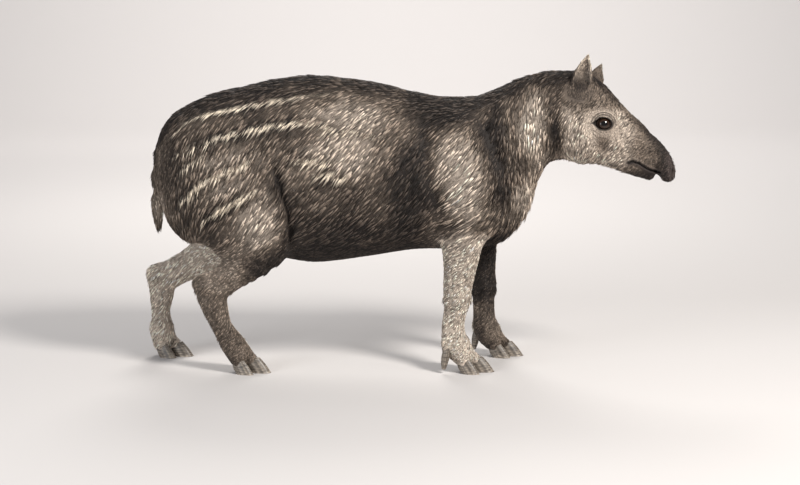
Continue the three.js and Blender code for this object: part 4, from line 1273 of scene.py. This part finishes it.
def eye_marks(q, colour, side):
    """Black lids, painted shade in the folds above them, and a paler ring round it all."""
    a, b, f = eye_parts(q, side)
    near_eye = (f > 0) & (np.hypot(a, b) < 60)
    gap = np.where(near_eye, lid_gap(a, b), 99)
    ring = np.where(near_eye, np.hypot(a, b * 1.12), 99)
    fold_shade = np.maximum(hump(ring, 29, 2.2), hump(ring, 36, 2))
    colour = blended(colour, PALE, smooth(np.abs(gap - 13), 11, 4) * 0.2)
    # Painted shade in the creases of the folds above the eye.
    colour = blended(colour, BLACK, fold_shade * smooth(b, -6, 8) * 0.9)
    return blended(colour, BLACK * 0.6, smooth(gap, 6.5, 3.0) * 0.97)


# %% The whole coat's colour
def tint(p):
    """The coat's colour, with its painted light and shade, at places of the drawing."""
    q = straightened(p)
    stripes = stripe_share(p)
    light = coat_tone_and_painted_light(p, q, stripes)
    colour = blended(np.tile(BLACK, (len(p), 1)), DARK, smooth(light, 0.0, 0.25))
    colour = blended(colour, BROWN, smooth(light, 0.15, 0.55))
    colour = blended(colour, PALE, smooth(light, 0.45, 1.0) * (1 + 0.3 * smooth(light, 1.0, 1.2)))
    colour = mouth_marks(q, colour)
    for ear in EARS:
        colour = ear_marks(q, colour, ear)
    for side in (-1, 1):
        colour = eye_marks(q, colour, side)
    return blended(colour, CREAM, stripes * 0.95)


print("the coat's mean colour:", tint(points[::50]).mean(0).round(3))

# %% [markdown]
# ## Materials
# The coat is short, dull and dense. Its colour comes with each corner of the mesh, and fine streaks
# along the lie of the hair are added by the material, so that no part of it is flat. An image would
# do the same, but it would have to be painted on the unwrap.


# %% Material helpers
def node(tree, kind, **values):
    """A new node with values for its inputs or its own settings."""
    made = tree.nodes.new(kind)
    for name, value in values.items():
        if name in made.inputs:
            made.inputs[name].default_value = value
        else:
            setattr(made, name, value)
    return made


def wire(tree, *pairs):
    """Links each pair of a node with its output and a node with its input."""
    for start, output, end, entry in pairs:
        tree.links.new(start.outputs[output], end.inputs[entry])


def streaked(tree, shader, grain, low, high):
    """Paints the corners' own colour, made darker and lighter by a grain, from low to high."""
    colour = node(tree, "ShaderNodeVertexColor", layer_name="tint")
    ramp = node(tree, "ShaderNodeMapRange", **{"To Min": low, "To Max": high})
    tinted = node(tree, "ShaderNodeVectorMath", operation="SCALE")
    wire(tree, (grain, "Fac", ramp, "Value"), (colour, "Color", tinted, 0),
         (ramp, "Result", tinted, "Scale"), (tinted, "Vector", shader, "Base Color"))


def bumpy(tree, shader, grain, strength, depth):
    """Lets a grain raise the surface a little."""
    bump = node(tree, "ShaderNodeBump", Strength=strength, Distance=depth)
    wire(tree, (grain, "Fac", bump, "Height"), (bump, "Normal", shader, "Normal"))


# %% Coat materials
def coat_material(name, streaks, rough):
    material, shader = plain_material(name, (0.1, 0.08, 0.06), rough)
    tree = material.node_tree
    place = node(tree, "ShaderNodeTexCoord")
    turn = node(tree, "ShaderNodeMapping", Rotation=(0, math.radians(-55), 0), Scale=(1, 1, 0.22))
    grain = node(tree, "ShaderNodeTexNoise", Scale=streaks, Detail=3.0)
    wire(tree, (place, "Object", turn, "Vector"), (turn, "Vector", grain, "Vector"))
    streaked(tree, shader, grain, 0.62, 1.42)
    bumpy(tree, shader, grain, 0.5, 0.0012)
    shader.inputs["Specular IOR Level"].default_value = 0.3
    return material


skin_material = coat_material("short_coat_skin", 210, 0.75)
hair_material = coat_material("coat_hair", 90, 0.62)
print("materials:", skin_material.name, hair_material.name)

# %% [markdown]
# ## The unwrap
# Skin and hair are unwrapped by shape: the barrel of the body rolled out round its axis, each leg
# rolled out on a strip of its own, and the ears on two small ones. A hair is a tiny patch at the
# place of its root. Blender's own unwrapping would give every tuft an island of its own.

# %% Unwrap
AXIS_X = (-700, -400, 0, 200, 330, 430, 520, 600, 660, 740)
AXIS_Z = (590, 585, 580, 590, 670, 735, 720, 690, 650, 610)


def region_of(p):
    """The region that a place belongs to: 0 is the body, then come the legs, then the ears."""
    found = np.zeros(len(p), int)
    for n, (side, leg, _, _) in enumerate(leg_fields.values(), 1):
        near = (p[:, 2] < 430) & (p[:, 1] * side > 30)
        d = np.full(len(p), FAR)
        d[near] = leg(p[near] * [1, side, 1])
        found[near & (d < 22)] = n
    q = straightened(p)
    for n, ear in enumerate(EARS, 1 + len(LEGS)):
        t, r, _ = ear_parts(q, ear)
        found[(t > 0.08) & (t < 1.2) & (r < 40) & (q[:, 2] > 790) & (ear_field(q, ear) < 6)] = n
    return found


def rolled_out(p, region):
    """An angle from -1 to 1 round the region's axis, and a place from 0 to 1 along it."""
    if region == 0:
        q = straightened(p)
        z = q[:, 2] - np.interp(q[:, 0], AXIS_X, AXIS_Z)
        back = np.arctan2(np.maximum(-560 - q[:, 0], 0), np.hypot(q[:, 1], z))
        along = np.where(q[:, 0] < -560, -560 - 200 * back, q[:, 0])
        return np.arctan2(q[:, 1], -z) / math.pi, (along + 880) / 1700
    if region <= len(LEGS):
        side, stations = list(LEGS.values())[region - 1]
        rows = np.array(stations)[::-1]
        x = p[:, 0] - np.interp(p[:, 2], rows[:, 2], rows[:, 0])
        y = p[:, 1] - np.interp(p[:, 2], rows[:, 2], rows[:, 1]) * side
        return np.arctan2(y, x) / math.pi, p[:, 2] / 440
    t, r, angle = ear_parts(straightened(p), list(EARS)[region - 1 - len(LEGS)])
    middle, _, _ = ear_form(t)
    return angle / math.pi * np.where(r < middle, 0.5, 1.0), np.clip(t, 0, 1.1) / 1.1


def unwrapped(p, region, turn=None):
    """Places on the unwrap. turn keeps the corners of a face on the same side of the cut."""
    angle, along = rolled_out(p, region)
    if turn is not None:
        angle = angle + 2 * np.round((turn - angle) / 2)
    if region == 0:
        return np.column_stack([0.02 + 0.96 * along, 0.65 + 0.27 * angle])
    if region <= len(LEGS):
        return np.column_stack([0.13 + 0.245 * (region - 1) + 0.105 * angle, 0.02 + 0.31 * along])
    first = 0.12 + 0.25 * (region - 1 - len(LEGS))
    return np.column_stack([first + 0.09 * angle, 0.945 + 0.045 * along])


def face_unwrap(points, faces):
    """The place on the unwrap of each corner of each face."""
    middles = points[faces].mean(1)
    region = region_of(middles)
    uv = np.zeros((len(faces), 3, 2))
    for n in np.unique(region):
        on = region == n
        turn, _ = rolled_out(middles[on], n)
        for c in range(3):
            uv[on, c] = unwrapped(points[faces[on, c]], n, turn)
    return uv


print("corners of the skin by region:", np.bincount(region_of(points)))


# %% Pieces
def piece(name, points, faces, colours, uv, material):
    """A mesh piece with its colours and its unwrap, riding on the root body."""
    data = bpy.data.meshes.new(name)
    data.vertices.add(len(points))
    data.vertices.foreach_set("co", metres(points).astype(np.float32).ravel())
    data.loops.add(faces.size)
    data.loops.foreach_set("vertex_index", faces.astype(np.int32).ravel())
    data.polygons.add(len(faces))
    data.polygons.foreach_set("loop_start", np.arange(0, faces.size, 3, dtype=np.int32))
    data.polygons.foreach_set("use_smooth", np.full(len(faces), True))
    layer = data.uv_layers.new(name="OFBake")
    layer.data.foreach_set("uv", uv.astype(np.float32).ravel())
    paint = data.color_attributes.new("tint", "FLOAT_COLOR", "POINT")
    solid = np.column_stack([colours, np.ones(len(colours))])
    paint.data.foreach_set("color", solid.astype(np.float32).ravel())
    data.materials.append(material)
    data.update(calc_edges=True)
    data.validate()
    made = placed(name, data)
    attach(made, "root")
    return made


# Skin under long hair lies in its shade.
shaded = 0.35 * smooth(points[:, 0], 460, 400) * smooth(points[:, 2], 60, 130)
skin_colours = tint(points) * (1 - shaded)[:, None]
skin = piece("skin", points, faces, skin_colours, face_unwrap(points, faces), skin_material)
flesh_nodes = sorted(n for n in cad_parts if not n.startswith(("hoof_", "eye_")))
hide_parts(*flesh_nodes)
print("skin in place of", len(flesh_nodes), "solids")


# %% [markdown]
# ## The lie of the coat
# Hair grows from the nose backward, down the flanks and legs, and along the ears to their tips. Its
# lie is told by one slant: how steeply it points down as it runs back. It is flatter on top of the
# back, half steep on the flank, steep on the neck and rump. Combing by hand would do it too, tuft
# by tuft.

# %% Lie
# Slant in degrees below level, x and z of a place, and how far it is felt along and up.
SLANTS = [
    (52, -200, 640, 150, 120), (45, -180, 480, 170, 60), (34, -180, 400, 190, 40),
    (52, -10, 600, 70, 130), (52, 120, 660, 80, 80), (45, 150, 560, 80, 60), (30, 165, 480, 80, 50),
    (40, 140, 300, 80, 110), (50, 140, 120, 80, 70), (82, 330, 720, 70, 130), (86, 320, 520, 60, 80),
    (67, -480, 680, 90, 90), (60, -470, 520, 90, 80), (80, -650, 700, 60, 110),
    (85, -700, 540, 60, 110), (55, -440, 430, 80, 60), (33, -470, 320, 110, 60),
    (50, -520, 150, 170, 90), (52, 480, 790, 50, 50), (76, 510, 690, 60, 50), (46, 610, 720, 60, 60),
    (46, 720, 700, 60, 60), (72, 500, 860, 60, 40), (55, 660, 800, 70, 40),
]


USUAL_SLANT, BACK_SLANT = 52, 37


def lie(p):
    """The way the hair points at each place, before it is laid on the skin."""
    q = straightened(p)
    x, _, z = q.T
    total = np.full(len(p), 1e-6)
    slant = USUAL_SLANT * total
    for degrees, cx, cz, along, tall in SLANTS:
        near = np.exp(-(((x - cx) / along) ** 2) - ((z - cz) / tall) ** 2)
        slant += degrees * near
        total += near
    slant = slant / total
    on_top = smooth(z, back_line(x) - 45, back_line(x) - 8)
    on_top = on_top * smooth(x, 320, 250) * smooth(x, -640, -560)
    slant = np.radians(slant + (BACK_SLANT - slant) * on_top)
    way = np.column_stack([-np.cos(slant), np.zeros(len(p)), -np.sin(slant)])
    ahead = x > 400
    way[ahead] = way[ahead] @ TO_TURNED
    for ear, (base, tip, _) in EARS.items():
        t, r, _ = ear_parts(q, ear)
        way[(t > 0.05) & (r < 38) & (z > 785)] = unit(np.subtract(tip, base)) @ TO_TURNED
    return way


print("on the flank hair points to", lie(np.array([[-200.0, 200, 600]]))[0].round(2))


# %% [markdown]
# ## The coat
# Each tuft is a thin closed blade of eight faces, rooted in the skin, widest near its root, its tip
# almost down on the coat. There are two kinds: fine short hair everywhere, and longer locks,
# largest on the trunk and thighs, each lighter or darker than the next, which give the coat its
# streaks. They are scattered by area, more closely where they are small, and leave the eyes, the
# mouth, the nostrils and the soles free. Solid blades stay in an exported model, where Blender's
# hair would be lost.


# %% Sizes of the tufts
def on_ear(q, ear):
    t, r, _ = ear_parts(q, ear)
    return (t > 0.03) & (r < 38) & (q[:, 2] > 785)


def tuft_sizes(p):
    """Length, width and lift in degrees of a fine tuft at each place."""
    q = straightened(p)
    x, _, z = q.T
    size = np.tile([18.0, 1.9, 8.0], (len(p), 1))

    def towards(other, share):
        size[:] = size + (np.asarray(other, float) - size) * share[:, None]

    towards((20, 2.0, 10), smooth(x, -650, -720) * smooth(z, 420, 470))
    towards((15, 1.8, 8), smooth(z, 330, 240) * smooth(x, 380, 340))
    towards((20, 1.9, 11), smooth(x, 180, 260) * smooth(z, 770, 830))
    towards((13, 1.6, 8), smooth(x, 330, 440) * smooth(z, 850, 780))
    towards((9, 1.25, 8), smooth(x, 450, 540))
    towards((5, 0.9, 7), smooth(x, 650, 730))
    towards((8, 1.3, 8), smooth(z, 140, 80) * smooth(x, 380, 340))
    for side in (-1, 1):
        a, b, f = eye_parts(q, side)
        towards((3.6, 0.8, 5), smooth(np.hypot(a, b), 60, 44) * (f > 0))
    for ear in EARS:
        towards((7, 1.0, 9), on_ear(q, ear).astype(float))
    return size


def lock_sizes(p):
    """The size of a lock at each place, as a share of the largest."""
    q = straightened(p)
    x, _, z = q.T
    size = 0.42 + 0.58 * smooth(z, 320, 440)
    size += (0.6 - size) * smooth(x, 380, 470)
    size += (0.3 - size) * smooth(x, 600, 690)
    size += (0.25 - size) * smooth(z, 110, 60)
    for side in (-1, 1):
        a, b, f = eye_parts(q, side)
        size += (0.13 - size) * smooth(np.hypot(a, b), 66, 46) * (f > 0)
    size += (0.5 - size) * smooth(x, -668, -700)
    for ear in EARS:
        size[on_ear(q, ear)] = 0.26
    return size


sizes = lock_sizes(points)
print(f"locks from {sizes.min():.2f} to {sizes.max():.2f} of the largest")

# %% Roots
FINE_TUFTS, LOCKS = 108000, 58000
rng = np.random.default_rng(11)
corner = points[faces]
area = np.linalg.norm(np.cross(corner[:, 1] - corner[:, 0], corner[:, 2] - corner[:, 0]), axis=1) / 2
middles = corner.mean(1)
length, width, _ = tuft_sizes(middles).T
fine_share = area / (length * width)
lock_area = area / lock_sizes(middles) ** 1.7
chosen = np.concatenate([rng.choice(len(faces), FINE_TUFTS, p=fine_share / fine_share.sum()),
                         rng.choice(len(faces), LOCKS, p=lock_area / lock_area.sum())])
lock = np.arange(len(chosen)) >= FINE_TUFTS
u, v = rng.random(len(chosen)), rng.random(len(chosen))
over = u + v > 1
u[over], v[over] = 1 - u[over], 1 - v[over]
weights = np.column_stack([1 - u - v, u, v])
roots = (points[faces[chosen]] * weights[:, :, None]).sum(1)
up = (normals[faces[chosen]] * weights[:, :, None]).sum(1)
up /= np.linalg.norm(up, axis=1)[:, None]
print(len(roots), "roots")

# %% Bare places
SOLE_BARE, LID_BARE, LIP_BARE, LOCK_BARE, NOSTRIL_BARE = 9, 4.5, 4.5, 6, 2.5
bare = roots[:, 2] < SOLE_BARE
straight = straightened(roots)
for side in (-1, 1):
    a, b, f = eye_parts(straight, side)
    bare |= (f > 0) & (np.hypot(a, b) < 45) & (lid_gap(a, b) < LID_BARE)
off, _ = off_line(straight[:, 0], straight[:, 2], MOUTH_LINE)
bare |= (straight[:, 0] > 610) & (off < LIP_BARE + LOCK_BARE * lock)
bare |= (straight[:, 0] > 700) & (NOSTRIL(both_sides(straight)) < NOSTRIL_BARE)
for leg in LEGS:
    for _, x, y, _, long, _, high in toe_places(leg):
        off = np.hypot(roots[:, 0] - x, roots[:, 1] - y)
        bare |= (off < long * 0.45) & (roots[:, 2] < high * 0.9)
roots, up, lock = roots[~bare], up[~bare], lock[~bare]
print(f"{len(roots)} tufts, {bare.sum()} left out where the skin is bare")

# %% Blades
LOCK_LENGTH, LIGHT_LOCKS, ROOT_SUNK = 38, 0.55, 1.2
length, width, lift = tuft_sizes(roots).T
grown = lock_sizes(roots)
striped = stripe_share(roots)
light_lock = lock & (rng.random(len(roots)) < LIGHT_LOCKS + striped)
length = np.where(lock, LOCK_LENGTH * grown, length) * rng.uniform(0.7, 1.25, len(roots))
width = np.where(lock, 1 + 3.5 * grown, width) * rng.uniform(0.75, 1.25, len(roots))
lift = np.where(lock, 4.5 + 2.5 * light_lock, lift) * (1 - 0.45 * smooth(roots[:, 2], 470, 380))
lift = np.radians(lift * rng.uniform(0.5, 1.4, len(roots)))
way = lie(roots)
way += rng.normal(0, 0.07, way.shape) + (value_noise(roots, 60, 8)[:, None] - 0.5) * [0.16, 0, 0.16]
way -= up * (way * up).sum(1)[:, None]
way /= np.maximum(np.linalg.norm(way, axis=1), 1e-6)[:, None]
across = np.cross(up, way)
rise = way * np.cos(lift)[:, None] + up * np.sin(lift)[:, None]
waist = roots + rise * (length * 0.36)[:, None]
half = across * (width / 2)[:, None]
ridge = up * (width * 0.3)[:, None]
tips = roots + rise * length[:, None] - up * (length * 0.05)[:, None]
sunk = roots - up * ROOT_SUNK
blades = np.stack([sunk, waist - half, waist + half, waist + ridge, waist - ridge * 0.8, tips], 1)
print(f"blades {length.min():.1f} to {length.max():.1f} mm long")

# %% Colours of the blades
LIGHT_SHADE, DARK_SHADE, FINE_SHADE, STRIPE_SHADE = 1.75, 0.4, 0.76, 1.05
shade = np.where(lock, np.where(light_lock, LIGHT_SHADE, DARK_SHADE), FINE_SHADE)
shade = shade * rng.normal(1, 0.17, len(roots)).clip(0.6, 1.5)
shade += (STRIPE_SHADE - shade) * np.clip(striped * 1.5, 0, 0.9)
hair_colours = tint(roots) * shade[:, None] + light_lock[:, None] * [0.022, 0.018, 0.014]
hair_colours = hair_colours.clip(0, 0.82)
region = region_of(roots)
root_uv = np.zeros((len(roots), 2))
for n in np.unique(region):
    root_uv[region == n] = unwrapped(roots[region == n], n)
print(light_lock.sum(), "light locks,", (lock & ~light_lock).sum(), "dark ones")

# %% Pieces of the coat
TUFTS_A_PIECE = 24000
BLADE_FACES = np.array([[0, 1, 3], [0, 3, 2], [0, 2, 4], [0, 4, 1],
                        [5, 3, 1], [5, 2, 3], [5, 4, 2], [5, 1, 4]])
PATCH_HALF = 0.0015
BLADE_PATCH = np.array([[0, -1], [-0.75, 0], [0.75, 0], [0, 0.2], [0, -0.2], [0, 1]]) * PATCH_HALF
order = np.argsort(roots[:, 0], kind="stable")
for number, part in enumerate(np.array_split(order, -(-len(order) // TUFTS_A_PIECE)), 1):
    base = (np.arange(len(part)) * 6)[:, None, None]
    blade_faces = (BLADE_FACES[None] + base).reshape(-1, 3)
    uv = (root_uv[part][:, None, None, :] + BLADE_PATCH[BLADE_FACES][None]).reshape(-1, 2)
    colours = np.repeat(hair_colours[part], 6, axis=0)
    blade_points = blades[part].reshape(-1, 3)
    made = piece(f"coat_{number}", blade_points, blade_faces, colours, uv, hair_material)
    print(made.name, len(blade_faces), "triangles")


# %% [markdown]
# ## Eyes
# The eye is dark and wet, with a wide pupil in a brown iris. It could be a clear cornea over an
# inner ball, but the eye is so dark that one glossy ball, coloured at its corners, looks the same.
# It keeps the solid's size and place.

# %% Wet eye
eye_material, eye_shader = plain_material("wet_eye", (0.02, 0.012, 0.008), 0.06)
tree = eye_material.node_tree
speckle = node(tree, "ShaderNodeTexNoise", Scale=900.0, Detail=2.0)
streaked(tree, eye_shader, speckle, 0.75, 1.25)
for socket, value in (("Specular IOR Level", 0.35), ("Coat Weight", 0.15), ("Coat Roughness", 0.02)):
    eye_shader.inputs[socket].default_value = value
print("material:", eye_material.name)


# %% Eyeballs
def ball(rings, spokes):
    """A ball of radius 1 about +Z, as points and triangles."""
    polar = np.linspace(0, math.pi, rings + 1)[1:-1]
    turn = np.arange(spokes) / spokes * 2 * math.pi
    grid = [(math.sin(a) * math.cos(t), math.sin(a) * math.sin(t), math.cos(a))
            for a in polar for t in turn]
    made = [(0, 0, 1), *grid, (0, 0, -1)]
    triangles = []
    for k in range(spokes):
        after = (k + 1) % spokes
        triangles.append((0, 1 + k, 1 + after))
        for r in range(rings - 2):
            a, b = 1 + r * spokes + k, 1 + r * spokes + after
            triangles += [(a, a + spokes, b), (b, a + spokes, b + spokes)]
        last = 1 + (rings - 2) * spokes
        triangles.append((last + after, last + k, len(made) - 1))
    return np.array(made), np.array(triangles)


unit_ball, ball_faces = ball(72, 72)
across_eye, over_eye, out_eye = unit_ball.T
ring = np.hypot(across_eye, over_eye)
ring[out_eye < 0] = 1.2
PUPIL_WIDE, PUPIL_HIGH, IRIS_EDGE = 0.40, 0.30, 0.7
WHITE, PUPIL = [0.03, 0.02, 0.016], [0.002] * 3
IRIS, IRIS_RIM = [0.022, 0.011, 0.006], [0.006, 0.004, 0.003]
pupil = np.hypot(across_eye / PUPIL_WIDE, over_eye / PUPIL_HIGH)
eye_colours = np.tile(WHITE, (len(unit_ball), 1))
for colour, share in ((IRIS, smooth(ring, 0.74, 0.66)),
                      (IRIS_RIM, smooth(np.abs(ring - IRIS_EDGE), 0.08, 0.02)),
                      (PUPIL, smooth(pupil, 1.08, 0.95))):
    eye_colours = blended(eye_colours, np.array(colour), share)
cornea = 1 + 0.05 * smooth(out_eye, 0.72, 0.92)
eye_places = unit_ball * cornea[:, None] * (EYE_RADIUS - 0.2)
eye_uv = np.column_stack([0.5 + 0.45 * across_eye, 0.5 + 0.45 * over_eye])

for name, side in (("left", 1), ("right", -1)):
    facing, forward, upward = eye_axes(side)
    middle = np.array([EYE_X, EYE_Y * side, EYE_Z])
    straight_places = middle + eye_places @ np.array([forward, upward, facing])
    turned_places = (straight_places - TURN_PIVOT) @ TO_TURNED + TURN_PIVOT
    # A mirrored ball has its faces inside out.
    outward = ball_faces[:, ::-1] if side > 0 else ball_faces
    eye = piece(f"eyeball_{name}", turned_places, outward, eye_colours, eye_uv[outward],
                eye_material)
    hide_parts(f"eye_{name}")
    print(eye.name, len(outward), "triangles")

# %% [markdown]
# ## Hooves
# Small horn shoes, one to a toe, rounded in front, with faint rings of growth. They stand flat on
# the floor, and the small fourth toe of a forefoot hangs behind. Each is a stack of rings that
# narrows upward and leans back, like a real hoof's wall. A cut block with rounded edges would miss
# that slope.

# %% Horn
horn, horn_shader = plain_material("horn", (0.12, 0.10, 0.08), 0.45)
tree = horn.node_tree
corner_tint = node(tree, "ShaderNodeVertexColor", layer_name="tint")
horn_colour = node(tree, "ShaderNodeVectorMath", operation="MULTIPLY")
horn_place = node(tree, "ShaderNodeTexCoord")
horn_turn = node(tree, "ShaderNodeMapping", Scale=(1, 1, 6))
horn_rings = node(tree, "ShaderNodeTexNoise", Scale=70.0, Detail=4.0)
horn_ramp = node(tree, "ShaderNodeValToRGB")
horn_stops = ((0.35, (0.062, 0.050, 0.041, 1)), (0.72, (0.300, 0.255, 0.205, 1)))
for stop, (position, colour) in zip(horn_ramp.color_ramp.elements, horn_stops):
    stop.position, stop.color = position, colour
wire(tree, (horn_place, "Object", horn_turn, "Vector"), (horn_turn, "Vector", horn_rings, "Vector"),
     (horn_rings, "Fac", horn_ramp, "Fac"), (horn_ramp, "Color", horn_colour, 0),
     (corner_tint, "Color", horn_colour, 1), (horn_colour, "Vector", horn_shader, "Base Color"))
bumpy(tree, horn_shader, horn_rings, 0.35, 0.001)
print("material:", horn.name)

# %% A hoof's form
HOOF_ROUND = 48
# A ring's height as a share, how much it is shrunk, and how far back it lies, as a share of the
# hoof's length.
HOOF_RINGS = [(0, 1, 0), (0.5, 0.9, 0.15), (1, 0.68, 0.31)]
CLAW_RINGS = [(0, 0.5, 0), (0.3, 0.9, 0.02), (0.65, 1, 0), (1, 0.64, -0.05)]
HOOF_HEEL, CLAW_HEEL = 0.42, 0.1


def hoof(long, wide, high, rings, heel):
    """A hoof about the middle of its sole, its toe along +X, and how light each of its corners is."""
    turn = np.arange(HOOF_ROUND) / HOOF_ROUND * 2 * math.pi
    c, s = np.cos(turn), np.sin(turn)
    fine = curve(rings, 9 if len(rings) == 3 else 6)
    first, last_ring = fine[0], fine[-1]
    fine = [first * [1, 0.88, 1], first * [1, 0.97, 1], first + [0.025, 0, 0], *fine[1:-1],
            last_ring * [0.985, 1, 1], last_ring * [1, 0.93, 1], last_ring * [1.01, 0.6, 1]]
    rows, shades = [], []
    for up_share, shrink, back in fine:
        slope = 1 - heel * (0.5 - c / 2)
        grown = 1 + 0.012 * math.sin(up_share * 2 * math.pi * 5.5)
        x = c * long / 2 * shrink * grown * np.where(c < 0, 0.74, 1) - back * long
        y = s * wide / 2 * shrink * grown * (1 + 0.1 * c)
        rows.append(np.column_stack([x, y, high * up_share * slope]))
        grain = 1 + 0.5 * np.sin(turn * 9 + 1.3 * np.sin(turn * 5)) * np.sin(turn * 23 + up_share)
        worn = 1 + 0.5 * smooth(np.array([up_share]), 0.14, 0.0)[0]
        banded = 1 + 0.12 * math.sin(up_share * 34)
        shades.append(grain * worn * (0.75 + 0.35 * (1 - up_share)) * banded)
    made = np.vstack([*rows, rows[0].mean(0), rows[-1].mean(0)])
    shades = np.concatenate([*shades, [0.8, 0.8]])
    triangles = []
    for r in range(len(rows) - 1):
        for k in range(HOOF_ROUND):
            after = (k + 1) % HOOF_ROUND
            a, b = r * HOOF_ROUND + k, r * HOOF_ROUND + after
            triangles += [(a, b, b + HOOF_ROUND), (a, b + HOOF_ROUND, a + HOOF_ROUND)]
    last = (len(rows) - 1) * HOOF_ROUND
    for k in range(HOOF_ROUND):
        after = (k + 1) % HOOF_ROUND
        triangles += [(len(made) - 2, after, k), (len(made) - 1, last + k, last + after)]
    return made, np.array(triangles), shades


print("a middle hoof has", len(hoof(*MIDDLE_HOOF, HOOF_RINGS, HOOF_HEEL)[1]), "triangles")

# %% All hooves
hooves = 0
for leg in LEGS:
    wanted_hooves = [(name, x, y, 0.0, heading, 0.0, size)
                     for name, x, y, heading, *size in toe_places(leg)]
    if leg.startswith("fore"):
        tip, lean, size = (SMALL_TOE[key] for key in ("tip", "lean", "size"))
        wanted_hooves.append(("small", *small_toe_place(leg), tip, 0.0, lean, size))
    for name, x, y, z, heading, lean, size in wanted_hooves:
        form = (CLAW_RINGS, CLAW_HEEL) if name == "small" else (HOOF_RINGS, HOOF_HEEL)
        shape_points, hoof_faces, shades = hoof(*size, *form)
        c, s = math.cos(lean), math.sin(lean)
        shape_points = shape_points @ np.array([[c, 0, -s], [0, 1, 0], [s, 0, c]])
        c, s = math.cos(heading), math.sin(heading)
        shape_points = shape_points @ np.array([[c, s, 0], [-s, c, 0], [0, 0, 1]]) + [x, y, z]
        uv = np.zeros((len(hoof_faces), 3, 2))
        flat = shape_points[hoof_faces] - [x, y, z]
        uv[..., 0] = 0.5 + np.arctan2(flat[..., 1], flat[..., 0]) / math.pi * 0.4
        uv[..., 1] = 0.1 + flat[..., 2] / size[2] * 0.7
        colours = np.repeat(shades[:, None], 3, axis=1)
        made = piece(f"horn_{leg}_{name}", shape_points, hoof_faces, colours, uv, horn)
        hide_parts(f"hoof_{leg}_{name}")
        hooves += 1
print(hooves, "hooves")
